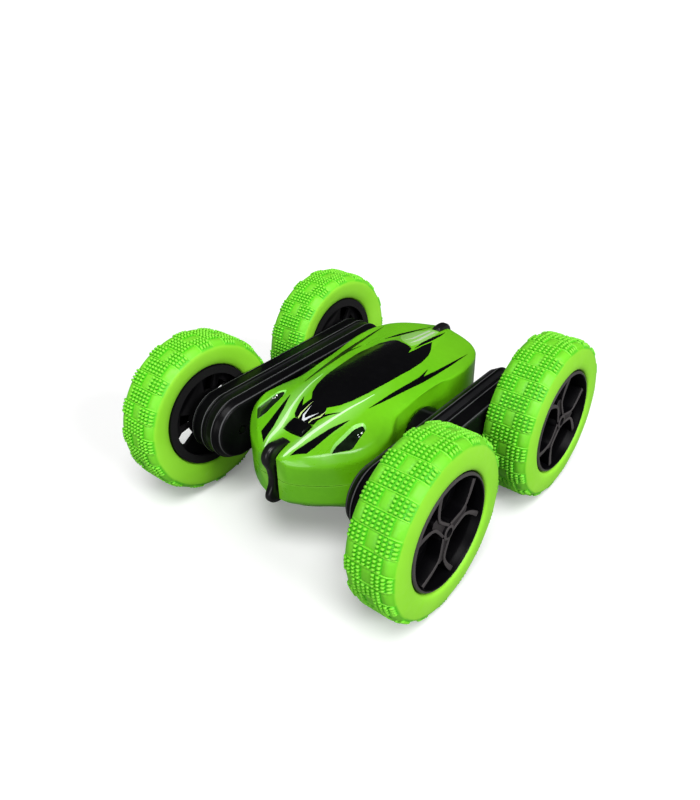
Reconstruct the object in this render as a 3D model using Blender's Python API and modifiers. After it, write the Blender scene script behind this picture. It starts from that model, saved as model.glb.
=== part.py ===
"""Radio-controlled double-sided stunt car.

World frame: X is lateral, Y is lengthwise with the nose towards -Y, Z is up. Pieces named "right"
lie at +X, which is on the right when the car is seen from its nose. The origin is the centre of
the swing-arm pivot axis on the car's centre plane.
Units are metres; dimensions below are written in millimetres and scaled by MM.
"""
import math
import bpy
import bmesh
from mathutils import Matrix, Vector

MM = 0.001

# (sign, name) pairs used for pieces that repeat
SIDES = ((1, "right"), (-1, "left"))      # along X
ENDS = ((-1, "front"), (1, "rear"))       # along Y
HALVES = ((1, "upper"), (-1, "lower"))    # along Z

# ---------------------------------------------------------------- driving dimensions (mm)
GAP = 0.3                 # clearance between neighbouring pieces
FREE_GAP = 0.4            # looser clearance of slots and bearing holes
SHAFT_R = 1.5             # drive shafts and wheel axles
PIN_R = 1.2               # idler pins
SPIGOT_R = 6.0            # arm spigot where it passes the body wall
BORE_R = SHAFT_R + FREE_GAP
PIVOT_HOLE_R = SPIGOT_R + FREE_GAP
CUT_FAR = 30.0            # a height outside every body surface

GEAR_M = 1.25             # module of the arm gear train
N_SUN, N_IDLER, N_WHEEL = 16, 16, 16
GEAR_IN, GEAR_OUT = 34.4, 40.2
IDLER_Y = (N_SUN + N_IDLER) * GEAR_M / 2.0
HALF_WHEELBASE = IDLER_Y + (N_IDLER + N_WHEEL) * GEAR_M / 2.0
DRIVE_M = 1.0             # module of the motor gear pair
N_SHAFT, N_PINION = 18, 8
MOTOR_Y = (N_SHAFT + N_PINION) * DRIVE_M / 2.0

# ---------------------------------------------------------------- scene
for old in list(bpy.data.objects):
    bpy.data.objects.remove(old, do_unlink=True)

scene = bpy.context.scene
parts = bpy.data.collections.new("double_sided_stunt_car")
cutters = bpy.data.collections.new("cutters")
scene.collection.children.link(parts)
scene.collection.children.link(cutters)
cutters.hide_render = True


# ---------------------------------------------------------------- materials
def material(name, colour, roughness, metallic=0.0):
    mat = bpy.data.materials.new(name)
    mat.use_nodes = True
    inputs = mat.node_tree.nodes["Principled BSDF"].inputs
    inputs["Base Color"].default_value = (*colour, 1.0)
    inputs["Roughness"].default_value = roughness
    inputs["Metallic"].default_value = metallic
    mat.diffuse_color = (*colour, 1.0)
    return mat


GREEN = material("lime_shell", colour=(0.22, 0.75, 0.01), roughness=0.32)
TYRE_GREEN = material("lime_tyre", colour=(0.33, 0.86, 0.05), roughness=0.55)
BLACK = material("black_plastic", colour=(0.012, 0.012, 0.014), roughness=0.35)
GUNMETAL = material("dark_rim_plastic", colour=(0.03, 0.03, 0.035), roughness=0.28)
STEEL = material("steel", colour=(0.55, 0.55, 0.57), roughness=0.3, metallic=1.0)
NYLON = material("white_nylon", colour=(0.85, 0.84, 0.8), roughness=0.5)
BRASS = material("brass_pinion", colour=(0.75, 0.55, 0.22), roughness=0.3, metallic=1.0)
LENS = material("dark_lens", colour=(0.02, 0.05, 0.02), roughness=0.12)
BATTERY = material("battery_wrap", colour=(0.05, 0.12, 0.5), roughness=0.45)
BOARD = material("board_green", colour=(0.02, 0.2, 0.08), roughness=0.5)
SWITCH = material("switch_black", colour=(0.02, 0.02, 0.02), roughness=0.5)


# ---------------------------------------------------------------- outlines (mm)
def flat_scale(n):
    """Corner radius of a regular n-gon over the radius to its flats."""
    return 1.0 / math.cos(math.pi / n)


def circle(r, n, cx=0.0, cy=0.0, phase=0.11, flats=True):
    """Regular polygon; with flats=True the radius is to the flats, so round clearances hold."""
    corner_r = r * flat_scale(n) if flats else r
    return [(cx + corner_r * math.cos(phase + 2 * math.pi * i / n),
             cy + corner_r * math.sin(phase + 2 * math.pi * i / n)) for i in range(n)]


def polar(r, deg):
    return (r * math.cos(math.radians(deg)), r * math.sin(math.radians(deg)))


def shrink(pts, distance):
    """Moves each corner towards the mean of the corners by a distance."""
    cx = sum(x for x, y in pts) / len(pts)
    cy = sum(y for x, y in pts) / len(pts)
    out = []
    for x, y in pts:
        length = math.hypot(x - cx, y - cy)
        out.append((x - (x - cx) / length * distance, y - (y - cy) / length * distance))
    return out


def span(sign, near, far):
    """Ascending z range from near to far, mirrored for the lower half."""
    return sorted((sign * near, sign * far))


# ---------------------------------------------------------------- solids (mm)
def prism(name, outlines, z0, z1):
    """Prism from closed 2D outlines; the first is the outside, the rest are holes."""
    curve = bpy.data.curves.new(name, "CURVE")
    curve.dimensions = "2D"
    curve.fill_mode = "BOTH"
    curve.extrude = (z1 - z0) / 2.0 * MM
    for pts in outlines:
        spline = curve.splines.new("POLY")
        spline.points.add(len(pts) - 1)
        for point, (x, y) in zip(spline.points, pts):
            point.co = (x * MM, y * MM, 0.0, 1.0)
        spline.use_cyclic_u = True
    curve_ob = bpy.data.objects.new(name + "_curve", curve)
    scene.collection.objects.link(curve_ob)
    mesh = bpy.data.meshes.new_from_object(curve_ob)
    bpy.data.objects.remove(curve_ob, do_unlink=True)
    bpy.data.curves.remove(curve)
    bm = bmesh.new()
    bm.from_mesh(mesh)
    bmesh.ops.remove_doubles(bm, verts=bm.verts, dist=1e-6)
    bmesh.ops.translate(bm, verts=bm.verts, vec=(0, 0, (z0 + z1) / 2.0 * MM))
    if len(outlines) == 1:
        # Without holes each cap can be a single face.
        bmesh.ops.dissolve_limit(bm, angle_limit=0.001, verts=bm.verts, edges=bm.edges)
    bmesh.ops.recalc_face_normals(bm, faces=bm.faces)
    bm.to_mesh(mesh)
    bm.free()
    mesh.name = name
    return bpy.data.objects.new(name, mesh)


def revolve(name, profile, steps, closed=True):
    """Turns an (r, z) profile about local Z; the outer side runs top to bottom."""
    n = len(profile)
    edges = [(i, i + 1) for i in range(n - 1)]
    if closed:
        edges.append((n - 1, 0))
    mesh = bpy.data.meshes.new(name)
    mesh.from_pydata([(r * MM, 0.0, z * MM) for r, z in profile], edges, [])
    ob = bpy.data.objects.new(name, mesh)
    screw = ob.modifiers.new("turn", "SCREW")
    screw.axis = "Z"
    screw.angle = 2 * math.pi
    screw.steps = screw.render_steps = steps
    screw.use_merge_vertices = True
    screw.merge_threshold = 0.00001
    screw.use_smooth_shade = True
    return ob


def box(name, xs, ys, zs):
    """Box between the (low, high) pairs of each axis."""
    mesh = bpy.data.meshes.new(name)
    bm = bmesh.new()
    bmesh.ops.create_cube(bm, size=1.0)
    bmesh.ops.scale(bm, verts=bm.verts, vec=[(b - a) * MM for a, b in (xs, ys, zs)])
    bmesh.ops.translate(bm, verts=bm.verts, vec=[(a + b) / 2 * MM for a, b in (xs, ys, zs)])
    bm.to_mesh(mesh)
    bm.free()
    return bpy.data.objects.new(name, mesh)


def rod(name, r, z0, z1, n):
    return prism(name, [circle(r, n, flats=False)], z0, z1)


# ---------------------------------------------------------------- placing and modifiers
def keep(ob, mat):
    """Makes the object a piece of the car."""
    parts.objects.link(ob)
    ob.data.materials.append(mat)
    return ob


def orient(ob, side, y=0.0, phase_deg=0.0):
    """Local x, y, z become world Y, Z, X at +X; for side -1 that is turned half round Z."""
    base = Matrix(((0, 0, 1), (1, 0, 0), (0, 1, 0))).to_4x4()
    turn = Matrix.Rotation(math.pi, 4, "Z") if side < 0 else Matrix.Identity(4)
    ob.matrix_world = (Matrix.Translation((0, y * MM, 0)) @ turn @ base
                       @ Matrix.Rotation(math.radians(phase_deg), 4, "Z"))
    return ob


def boolean(ob, tool, operation):
    if not tool.users_collection:  # a tool shared by both shells is linked once
        cutters.objects.link(tool)
    tool.display_type = "WIRE"
    tool.hide_render = True
    mod = ob.modifiers.new(operation.lower() + "_" + tool.name, "BOOLEAN")
    mod.operation = operation
    mod.solver = "EXACT"
    mod.object = tool


def add(ob, tool):
    boolean(ob, tool, "UNION")


def cut(ob, tool):
    boolean(ob, tool, "DIFFERENCE")


def bevel(ob, width, angle, segments=1):
    mod = ob.modifiers.new("edge_round", "BEVEL")
    mod.width = width * MM
    mod.segments = segments
    mod.limit_method = "ANGLE"
    mod.angle_limit = math.radians(angle)


def merge_flats(ob):
    """Merges the coplanar facets that Boolean cuts leave behind."""
    mod = ob.modifiers.new("merge_flats", "DECIMATE")
    mod.decimate_type = "DISSOLVE"
    mod.angle_limit = math.radians(0.4)


# ---------------------------------------------------------------- body wall
SHELL_T = 1.6             # plan thickness of the wall, and its height at ridge and centre
MITRE_MIN = 0.35          # limits how far a sharp plan corner is mitred
WALL_TOP_DROP, SHOULDER_DROP = 1.1, 1.5            # inner skin below the outer one
SHOULDER_INSET = 0.9      # inner shoulder inside the outer one
SHOULDER_STEP, RIDGE_STEP = 0.25, 0.8              # least inward steps: wall-shoulder-ridge
FLANK_BULGE, FLANK_RISE = 0.6, 0.52                # point between shoulder and ridge
CROWN_RISE = 0.8          # share of the ridge-to-centre rise reached at half the ridge width

# Body sections, nose to tail:
# y, wall half width, wall top z, shoulder half width, shoulder z, ridge half width, ridge z,
# centre z
SECTIONS = [
    (-53.8, 6.0, 7.8, 4.6, 8.5, 3.2, 8.8, 8.7),
    (-52.7, 9.0, 7.85, 6.6, 9.3, 3.8, 9.9, 9.7),
    (-51.2, 11.8, 7.9, 8.6, 9.9, 4.2, 10.6, 10.3),
    (-49.0, 15.2, 8.0, 11.2, 10.8, 4.8, 11.6, 11.0),
    (-46.4, 18.5, 8.1, 14.2, 11.2, 5.4, 12.2, 11.6),
    (-43.4, 21.5, 8.5, 17.2, 11.6, 6.0, 13.0, 12.2),
    (-38.5, 25.6, 9.3, 22.8, 12.2, 7.0, 14.6, 13.1),
    (-34.0, 27.8, 10.2, 25.4, 12.8, 8.0, 15.9, 15.3),
    (-29.5, 28.6, 10.9, 26.4, 13.4, 9.2, 16.9, 17.5),
    (-25.0, 28.3, 11.5, 25.6, 13.8, 10.4, 17.6, 18.6),
    (-21.0, 27.4, 12.3, 24.0, 14.3, 11.2, 18.0, 19.2),
    (-16.5, 25.2, 13.3, 22.4, 14.8, 11.9, 18.2, 19.8),
    (-12.5, 23.7, 14.0, 22.2, 15.0, 12.4, 18.3, 20.2),
    (-6.0, 23.5, 14.4, 22.8, 15.2, 12.8, 18.4, 20.5),
    (0.0, 23.5, 14.6, 23.4, 15.3, 12.9, 18.4, 20.6),
    (6.0, 23.5, 14.8, 23.8, 15.4, 12.8, 18.4, 20.6),
    (12.5, 23.8, 15.0, 24.4, 15.6, 12.2, 18.2, 20.4),
    (19.0, 25.8, 15.1, 25.2, 15.7, 11.0, 18.0, 20.0),
    (27.0, 26.6, 15.3, 25.2, 15.9, 9.6, 17.8, 19.4),
    (35.0, 25.8, 15.5, 24.2, 16.1, 8.2, 17.6, 18.7),
    (42.5, 23.0, 15.7, 21.4, 16.2, 6.8, 17.3, 18.0),
    (47.5, 18.4, 15.8, 16.8, 16.3, 5.4, 17.0, 17.5),
    (51.0, 12.2, 15.8, 10.8, 16.3, 4.2, 16.7, 17.0),
    (53.4, 5.4, 15.8, 4.6, 16.2, 3.2, 16.4, 16.5),
]


def section_points(row, sign):
    """Points of one section, from the foot of the +X wall over the top to the -X foot."""
    y, wall, wall_z, shoulder, shoulder_z, ridge, ridge_z, centre_z = row
    half = [(wall, GAP / 2), (wall, wall_z), (shoulder, shoulder_z),
            ((shoulder + ridge) / 2 + FLANK_BULGE,
             shoulder_z + (ridge_z - shoulder_z) * FLANK_RISE),
            (ridge, ridge_z), (ridge * 0.5, ridge_z + (centre_z - ridge_z) * CROWN_RISE)]
    pts = half + [(0.0, centre_z)] + [(-x, z) for x, z in reversed(half)]
    return [Vector((x * MM, y * MM, sign * z * MM)) for x, z in pts]


def section_at(y):
    """Section values at y, straight-line between the stations."""
    a, b = next((a, b) for a, b in zip(SECTIONS, SECTIONS[1:]) if a[0] <= y <= b[0])
    t = (y - a[0]) / (b[0] - a[0])
    return [p + (q - p) * t for p, q in zip(a, b)]


def inner_sections():
    """The same sections moved in by the wall thickness, mitred in plan."""
    plan = [(0.0, SECTIONS[0][0])] + [(row[1], row[0]) for row in SECTIONS]
    plan.append((0.0, SECTIONS[-1][0]))
    rows = []
    for before, here, after in zip(plan, plan[1:], plan[2:]):
        along_in = Vector((here[0] - before[0], here[1] - before[1])).normalized()
        along_out = Vector((after[0] - here[0], after[1] - here[1])).normalized()
        normal_in = Vector((-along_in.y, along_in.x))
        normal_out = Vector((-along_out.y, along_out.x))
        mitre = (normal_in + normal_out).normalized()
        offset = SHELL_T / max(MITRE_MIN, mitre.dot(normal_in))
        x, y = here[0] + mitre.x * offset, here[1] + mitre.y * offset
        _, _, wall_z, shoulder, shoulder_z, ridge, ridge_z, centre_z = section_at(y)
        shoulder = min(shoulder - SHOULDER_INSET, x - SHOULDER_STEP)
        ridge = min(ridge, shoulder - RIDGE_STEP)
        rows.append((y, x, wall_z - WALL_TOP_DROP, shoulder, shoulder_z - SHOULDER_DROP,
                     ridge, ridge_z - SHELL_T, centre_z - SHELL_T))
    return rows


def wall_object(name, sign):
    """One half of the body as a closed wall: outer loft, inner loft, rim and end walls."""
    bm = bmesh.new()
    skins = []
    for rows in (SECTIONS, inner_sections()):
        rings = [[bm.verts.new(v) for v in section_points(row, sign)] for row in rows]
        for a, b in zip(rings, rings[1:]):
            for i in range(len(a) - 1):
                bm.faces.new((a[i], a[i + 1], b[i + 1], b[i]))
        for ring in (rings[0], rings[-1]):
            bm.faces.new(ring)
        skins.append(rings)
    outer, inner = skins
    for foot in (0, -1):
        for k in range(len(outer) - 1):
            bm.faces.new((outer[k][foot], outer[k + 1][foot],
                          inner[k + 1][foot], inner[k][foot]))
    for end in (0, -1):
        bm.faces.new((outer[end][0], inner[end][0], inner[end][-1], outer[end][-1]))
    bmesh.ops.recalc_face_normals(bm, faces=bm.faces)
    mesh = bpy.data.meshes.new(name)
    bm.to_mesh(mesh)
    bm.free()
    return bpy.data.objects.new(name, mesh)


# ---------------------------------------------------------------- body shells
BUMPER_HALF = 2.5         # half width of the bumper strips
SLOT_HALF = BUMPER_HALF + FREE_GAP
HEADLIGHT = [(17.6, -42.9), (23.2, -38.2), (21.7, -28.6)]   # x, y corners at +X
SCOOP_HALF, SCOOP_FRONT, SCOOP_BACK = 4.2, -42.6, -37.0
OPENING_Z = 5.0           # scoop and headlight openings cut from here outwards
DOOR_X, DOOR_Y = (-14.0, 14.0), (23.0, 42.2)                # battery door opening
DOOR_SCREW_Y = 26.0
DOOR_CUT_Z = (-CUT_FAR, -8)
POSTS = [                 # end, x, y, height reached by the post
    ("front", 19.0, -24.0, 14.5),
    ("rear", 20.3, 33.0, 15.6),
]
POST_R = {1: 2.6, -1: 3.4}          # upper, lower
POST_HOLE_DEPTH = {1: 8.0, -1: 9.0}
SCREW_HOLE_R = 1.3
HEAD_HOLE_R = 2.4
HEAD_SEAT = 7.0           # depth of the screw head seats below the centre plane


def post_places():
    """Name suffix, x, y and reach of each of the four posts."""
    return [(f"{x:.0f}_{y:.0f}_{sx}", sx * x, y, reach)
            for _, x, y, reach in POSTS for sx in (1, -1)]


def body_shell(sign, label, shared_cuts):
    shell = keep(wall_object(label + "_shell", sign), GREEN)
    for place, x, y, reach in post_places():
        add(shell, prism(f"{label}_post_{place}", [circle(POST_R[sign], 10, x, y)],
                         *span(sign, GAP, reach)))
    if sign > 0:
        add(shell, prism("door_screw_mast", [circle(2.6, 10, 0.0, DOOR_SCREW_Y)], -17.3, 18.6))
    for tool in shared_cuts:
        cut(shell, tool)

    opening_z = span(sign, OPENING_Z, CUT_FAR)
    cut(shell, box(label + "_scoop_cutter",
                   (-SCOOP_HALF - FREE_GAP, SCOOP_HALF + FREE_GAP),
                   (SCOOP_FRONT - FREE_GAP, SCOOP_BACK + FREE_GAP), opening_z))
    for sx in (1, -1):
        cut(shell, prism(f"{label}_headlight_cutter_{sx}",
                         [[(sx * x, y) for x, y in HEADLIGHT]], *opening_z))
    for place, x, y, _ in post_places():
        cut(shell, prism(f"{label}_screw_hole_{place}", [circle(SCREW_HOLE_R, 8, x, y)],
                         *span(sign, -1.0, POST_HOLE_DEPTH[sign])))
        if sign < 0:
            cut(shell, prism(f"{label}_head_hole_{place}", [circle(HEAD_HOLE_R, 10, x, y)],
                             -CUT_FAR, -HEAD_SEAT))
    if sign > 0:
        cut(shell, prism("mast_hole", [circle(SCREW_HOLE_R, 8, 0.0, DOOR_SCREW_Y)],
                         -20.0, -7.0))
    else:
        cut(shell, box("door_cutter", DOOR_X, DOOR_Y, DOOR_CUT_Z))
        cut(shell, box("switch_slot_cutter", (-1.5, 1.5), (-2.6, 2.6), (-CUT_FAR, -15)))
    merge_flats(shell)


def body_shells():
    slot_x, slot_z = (-SLOT_HALF, SLOT_HALF), (-CUT_FAR, CUT_FAR)
    shared_cuts = [
        orient(prism("pivot_hole_cutter", [circle(PIVOT_HOLE_R, 20)], -32.0, 32.0), 1),
        box("nose_slot_cutter", slot_x, (-60, -46.0), slot_z),
        box("tail_slot_cutter", slot_x, (42.6, 60), slot_z),
    ]
    for sign, label in HALVES:
        body_shell(sign, label, shared_cuts)


def battery_door():
    """The lower wall again, cut to the opening less the clearance."""
    door = keep(wall_object("battery_door", -1), GREEN)
    inside = box("door_keep", (DOOR_X[0] + GAP, DOOR_X[1] - GAP),
                 (DOOR_Y[0] + GAP, DOOR_Y[1] - GAP), DOOR_CUT_Z)
    boolean(door, inside, "INTERSECT")
    cut(door, prism("door_hole", [circle(SCREW_HOLE_R, 8, 0.0, DOOR_SCREW_Y)],
                    -CUT_FAR, -10.0))


# ---------------------------------------------------------------- body fittings
# Upper half of each bumper strip as (y, z): the outer edge from its root to the centre plane,
# and the inner edge from the centre plane back up.
BUMPERS = {
    "front_bumper": (
        [(-46.4, 9.0), (-46.4, 12.6), (-49.4, 12.9), (-51.2, 13.5), (-53.6, 13.6),
         (-55.8, 12.7), (-57.2, 10.8), (-57.6, 8.4), (-56.9, 6.0), (-55.7, 3.6), (-55.3, 0.0)],
        [(-52.0, 0.0), (-52.0, 5.5), (-50.4, 8.4)]),
    "rear_bumper": (
        [(43.0, 15.0), (43.0, 18.9), (47.5, 18.6), (50.8, 18.7), (53.4, 18.6),
         (55.8, 17.6), (57.3, 15.6), (57.7, 13.0), (56.9, 10.2), (55.5, 7.0), (55.0, 0.0)],
        [(51.6, 0.0), (51.6, 11.0), (49.6, 14.6)]),
}
# Side outline of the upper hood scoop as (y, z)
SCOOP_SIDE = [(SCOOP_FRONT, 8.6), (SCOOP_FRONT, 13.3), (-41.4, 14.3), (-37.6, 15.2),
              (SCOOP_BACK, 14.6), (SCOOP_BACK, 8.6)]
LENS_Z = (10.3, 11.5)
LENS_INSET = 0.75         # lens corners inside the opening's corners


def side_prism(name, pts, half_width, mat):
    """Prism of a (y, z) outline, centred on the car's centre plane."""
    return keep(orient(prism(name, [pts], -half_width, half_width), 1), mat)


def bumper(name, outer, inner):
    pts = (outer + [(y, -z) for y, z in reversed(outer[:-1])]
           + [(y, -z) for y, z in reversed(inner)] + inner[1:])
    bevel(side_prism(name, pts, BUMPER_HALF, BLACK), width=0.5, angle=60)


def hood_scoop(sign, label):
    pts = [(y, sign * z) for y, z in SCOOP_SIDE]
    bevel(side_prism(label + "_hood_scoop", pts, SCOOP_HALF, BLACK), width=0.35, angle=50)


def headlights(sign, label):
    for sx, side_name in SIDES:
        pts = [(sx * x, y) for x, y in shrink(HEADLIGHT, LENS_INSET)]
        keep(prism(f"{label}_{side_name}_headlight", [pts], *span(sign, *LENS_Z)), LENS)


# ---------------------------------------------------------------- electrics inside the shells
BOARD_TOP = 0.6
BOARD_OUTLINE = [(-14, -25.5), (-14, -38), (-10.5, -43), (10.5, -43), (14, -38), (14, -25.5)]
BOARD_CHIPS = [           # centre x, centre y, half width, half length, height
    (0, -33, 3.5, 3.5, 1.5),
    (-8.5, -30, 2.2, 3.0, 2.4),
    (8.5, -32, 1.6, 4.5, 1.8),
]
SWITCH_TRAVEL = 2.0


def battery_pack():
    pack = keep(box("battery_pack", (-13.5, 13.5), (29.3, 41.8), (-8.0, 8.0)), BATTERY)
    bevel(pack, width=2.0, angle=60, segments=2)


def circuit_board():
    board = keep(prism("circuit_board", [BOARD_OUTLINE], -BOARD_TOP, BOARD_TOP), BOARD)
    for i, (x, y, half_x, half_y, height) in enumerate(BOARD_CHIPS):
        add(board, box(f"board_chip_{i}", (x - half_x, x + half_x), (y - half_y, y + half_y),
                       (-0.2, BOARD_TOP + height)))


def power_switch():
    body = keep(box("power_switch_body", (-5.0, 5.0), (-4.0, 4.0), (-18.4, -13.2)), SWITCH)
    cut(body, box("switch_groove", (-1.5, 1.5), (-2.8, 2.8), (-19.0, -16.2)))
    knob = keep(box("power_switch_knob", (-1.1, 1.1), (-1.2, 1.2), (-21.4, -16.6)), SWITCH)
    knob.location = (0.0, -SWITCH_TRAVEL / 2 * MM, 0.0)  # at the nose end of its travel
    bevel(knob, width=0.3, angle=60)


# ---------------------------------------------------------------- screws
SHANK_R = 0.95
HEAD_TOP = -(HEAD_SEAT + GAP)
SHELL_SCREW = [(0.0, 4.5), (SHANK_R, 3.9), (SHANK_R, HEAD_TOP), (2.0, HEAD_TOP),
               (2.0, -8.8), (0.0, -8.8)]                    # r, z
DOOR_SCREW = [(0.0, -8.0), (SHANK_R, -8.6), (SHANK_R, -19.9), (2.1, -19.9),
              (1.9, -21.0), (0.0, -21.0)]                   # r, z


def body_screw(name, profile, steps, x, y):
    screw = keep(revolve(name, profile, steps, closed=False), STEEL)
    screw.location = (x * MM, y * MM, 0.0)


def body_screws():
    for sx, side_name in SIDES:
        for end, x, y, _ in POSTS:
            body_screw(f"{end}_{side_name}_shell_screw", SHELL_SCREW, 8, sx * x, y)
    body_screw("battery_door_screw", DOOR_SCREW, 10, 0.0, DOOR_SCREW_Y)


# ---------------------------------------------------------------- motor drive
# From here on local z is the distance from the centre plane, out through the side.
TIP_HEIGHT, ROOT_DEPTH = 0.8, 1.15        # of a tooth, in modules
ROOT_HALF, TIP_HALF = 0.32, 0.11          # tooth half widths, in pitches
MOTOR_R, MOTOR_FLAT = 9.6, 7.4            # can radius, and distance to its two flats


def gear(name, teeth, module, z0, z1, bore, phase=0.0, bore_n=10):
    r, pitch = teeth * module / 2.0, 2 * math.pi / teeth
    tip, root = r + TIP_HEIGHT * module, r - ROOT_DEPTH * module
    tooth = ((root, -ROOT_HALF), (tip, -TIP_HALF), (tip, TIP_HALF), (root, ROOT_HALF))
    pts = []
    for k in range(teeth):
        for radius, shift in tooth:
            a = phase + k * pitch + shift * pitch
            pts.append((radius * math.cos(a), radius * math.sin(a)))
    return prism(name, [pts, circle(bore, bore_n)], z0, z1)


def motor(side, side_name):
    """Can with flats towards nose and tail, and its stub shaft."""
    half_arc = math.pi / 2 - math.acos(MOTOR_FLAT / MOTOR_R)
    angles = [centre + half_arc * t / 4
              for centre in (math.pi / 2, -math.pi / 2) for t in range(-4, 5)]
    outline = [(MOTOR_R * math.cos(a), MOTOR_R * math.sin(a)) for a in angles]
    can = prism(f"{side_name}_motor", [outline], -9.5, 14.6)
    stub = prism(f"{side_name}_motor_shaft", [circle(0.85, 8)], 12.0, 19.6)
    for ob in (can, stub):
        orient(ob, side, side * MOTOR_Y)
    add(keep(can, STEEL), stub)


def drive(side, side_name):
    shaft = rod(f"{side_name}_drive_shaft", SHAFT_R, 15.2, 44.9, n=12)
    keep(orient(shaft, side), STEEL)
    shaft_gear = gear(f"{side_name}_shaft_gear", N_SHAFT, DRIVE_M, 16.0, 19.2, SHAFT_R + GAP)
    keep(orient(shaft_gear, side), NYLON)
    sun = gear(f"{side_name}_sun_gear", N_SUN, GEAR_M, GEAR_IN, GEAR_OUT, SHAFT_R + GAP)
    keep(orient(sun, side), NYLON)
    # The pinion is turned so that a tooth gap faces the shaft gear.
    pinion = gear(f"{side_name}_motor_pinion", N_PINION, DRIVE_M, 16.2, 19.0, bore=1.2,
                  phase=math.pi / N_PINION, bore_n=8)
    keep(orient(pinion, side, side * MOTOR_Y), BRASS)
    motor(side, side_name)


# ---------------------------------------------------------------- swing arms
ARM_IN, ARM_SPLIT, ARM_OUT = 30.3, 37.6, 45.3
ARM_WALL = 1.2
ARM_FLOOR = 1.4
ARM_R = 12.5              # half height of the arm and radius of its round ends
ARM_RIBS = (34.2, 39.4)   # raised bands round the inner and outer cover
RIB_W, RIB_H = 0.9, 0.5
PIN_INSET = 0.1           # ends of pins and axles inside the arm's faces
SPIGOT = [                # r, z: bearing boss and captive spigot through the body wall
    (0.0, 33.4), (4.4, 33.4), (4.4, 31.0), (11.0, 31.0), (11.0, 25.2), (9.8, 24.2),
    (SPIGOT_R, 24.2), (SPIGOT_R, 21.3), (7.4, 21.3), (7.4, 19.8), (0.0, 19.8),
]


def stadium(r, n_arc=12):
    """Side outline of a swing arm: round ends about the axles joined by straight edges."""
    corner_r = r * flat_scale(2 * n_arc)
    pts = []
    for centre, start in ((HALF_WHEELBASE, -90.0), (-HALF_WHEELBASE, 90.0)):
        for i in range(n_arc + 1):
            x, y = polar(corner_r, start + 180.0 * i / n_arc)
            pts.append((centre + x, y))
    return pts


def arm_cover(name, side, inner):
    """Half of the arm casing: a tray whose floor carries the bearing holes."""
    axle_places = (HALF_WHEELBASE, -HALF_WHEELBASE)
    if inner:
        z0, z1 = ARM_IN, ARM_SPLIT - GAP / 2
        hollow_z = (z0 + ARM_FLOOR, z1 + 2.0)
        rib_z = ARM_RIBS[0]
        bosses = [revolve(name + "_spigot", SPIGOT, 16, closed=False)]
    else:
        z0, z1 = ARM_SPLIT + GAP / 2, ARM_OUT
        hollow_z = (z0 - 2.0, z1 - ARM_FLOOR)
        rib_z = ARM_RIBS[1]
        bosses = [prism(f"{name}_axle_boss_{place:.0f}", [circle(4.2, 12, place)],
                        ARM_OUT - 0.7, ARM_OUT + 0.5) for place in axle_places]
    body = prism(name, [stadium(ARM_R)], z0, z1)
    rib = prism(name + "_rib", [stadium(ARM_R + RIB_H)], rib_z - RIB_W / 2, rib_z + RIB_W / 2)
    hollow = prism(name + "_hollow", [stadium(ARM_R - ARM_WALL)], *hollow_z)
    holes = [prism(name + "_pivot_bore", [circle(BORE_R, 12)], 15.0, 50.0)]
    for place in axle_places:
        holes.append(prism(f"{name}_axle_bore_{place:.0f}", [circle(BORE_R, 10, place)],
                           25.0, 50.0))
    for place in (IDLER_Y, -IDLER_Y):
        holes.append(prism(f"{name}_pin_bore_{place:.0f}", [circle(PIN_R + GAP, 8, place)],
                           25.0, 50.0))

    for ob in (body, rib, hollow, *bosses, *holes):
        orient(ob, side)
    keep(body, BLACK)
    add(body, rib)
    cut(body, hollow)
    for boss in bosses:
        add(body, boss)
    for hole in holes:
        cut(body, hole)
    merge_flats(body)


def arm_train(side, label, end_sign):
    """Idler gear with its pin, and the wheel gear with its axle, at one end of an arm."""
    idler_y, wheel_y = end_sign * IDLER_Y, end_sign * HALF_WHEELBASE
    idler = gear(f"{label}_idler_gear", N_IDLER, GEAR_M, GEAR_IN, GEAR_OUT, PIN_R + GAP,
                 phase=math.pi / N_IDLER, bore_n=8)
    keep(orient(idler, side, idler_y), NYLON)
    pin = rod(f"{label}_idler_pin", PIN_R, ARM_IN + PIN_INSET, ARM_OUT - PIN_INSET, n=8)
    keep(orient(pin, side, idler_y), STEEL)
    wheel_gear = gear(f"{label}_wheel_gear", N_WHEEL, GEAR_M, GEAR_IN, GEAR_OUT, SHAFT_R + GAP)
    keep(orient(wheel_gear, side, wheel_y), NYLON)
    axle = rod(f"{label}_axle", SHAFT_R, ARM_IN + PIN_INSET, 63.1, n=12)
    keep(orient(axle, side, wheel_y), STEEL)


# ---------------------------------------------------------------- wheels
TYRE_SEG = 32             # facets round the tyre
HALF_FACET = 180.0 / TYRE_SEG                     # degrees
TYRE_R = 32.5             # tyre radius, to the flat of each tread facet
TYRE_BORE_R = 21.1
TYRE_IN, TYRE_OUT = 46.0, 65.2
RIM_R = TYRE_BORE_R - GAP
RIM_IN, RIM_OUT = 47.6, 64.9
TYRE_PROFILE = [          # r, z
    (TYRE_BORE_R, 64.2), (23.6, TYRE_OUT), (27.5, 64.9), (31.0, 64.2), (TYRE_R, 62.9),
    (TYRE_R, 47.6), (31.0, 46.2), (27.5, TYRE_IN), (23.6, 46.5), (TYRE_BORE_R, 47.9),
]
RIM_PROFILE = [           # r, z
    (19.3, RIM_OUT), (RIM_R, RIM_OUT), (RIM_R, RIM_IN), (17.6, RIM_IN),
    (17.6, RIM_IN + 1.2), (19.3, RIM_IN + 1.6),
]
# Spoke angle of each rim in degrees, by side and end sign
RIM_PHASES = {(1, -1): 133.0, (1, 1): 110.0, (-1, -1): 3.5, (-1, 1): 19.0}
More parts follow.
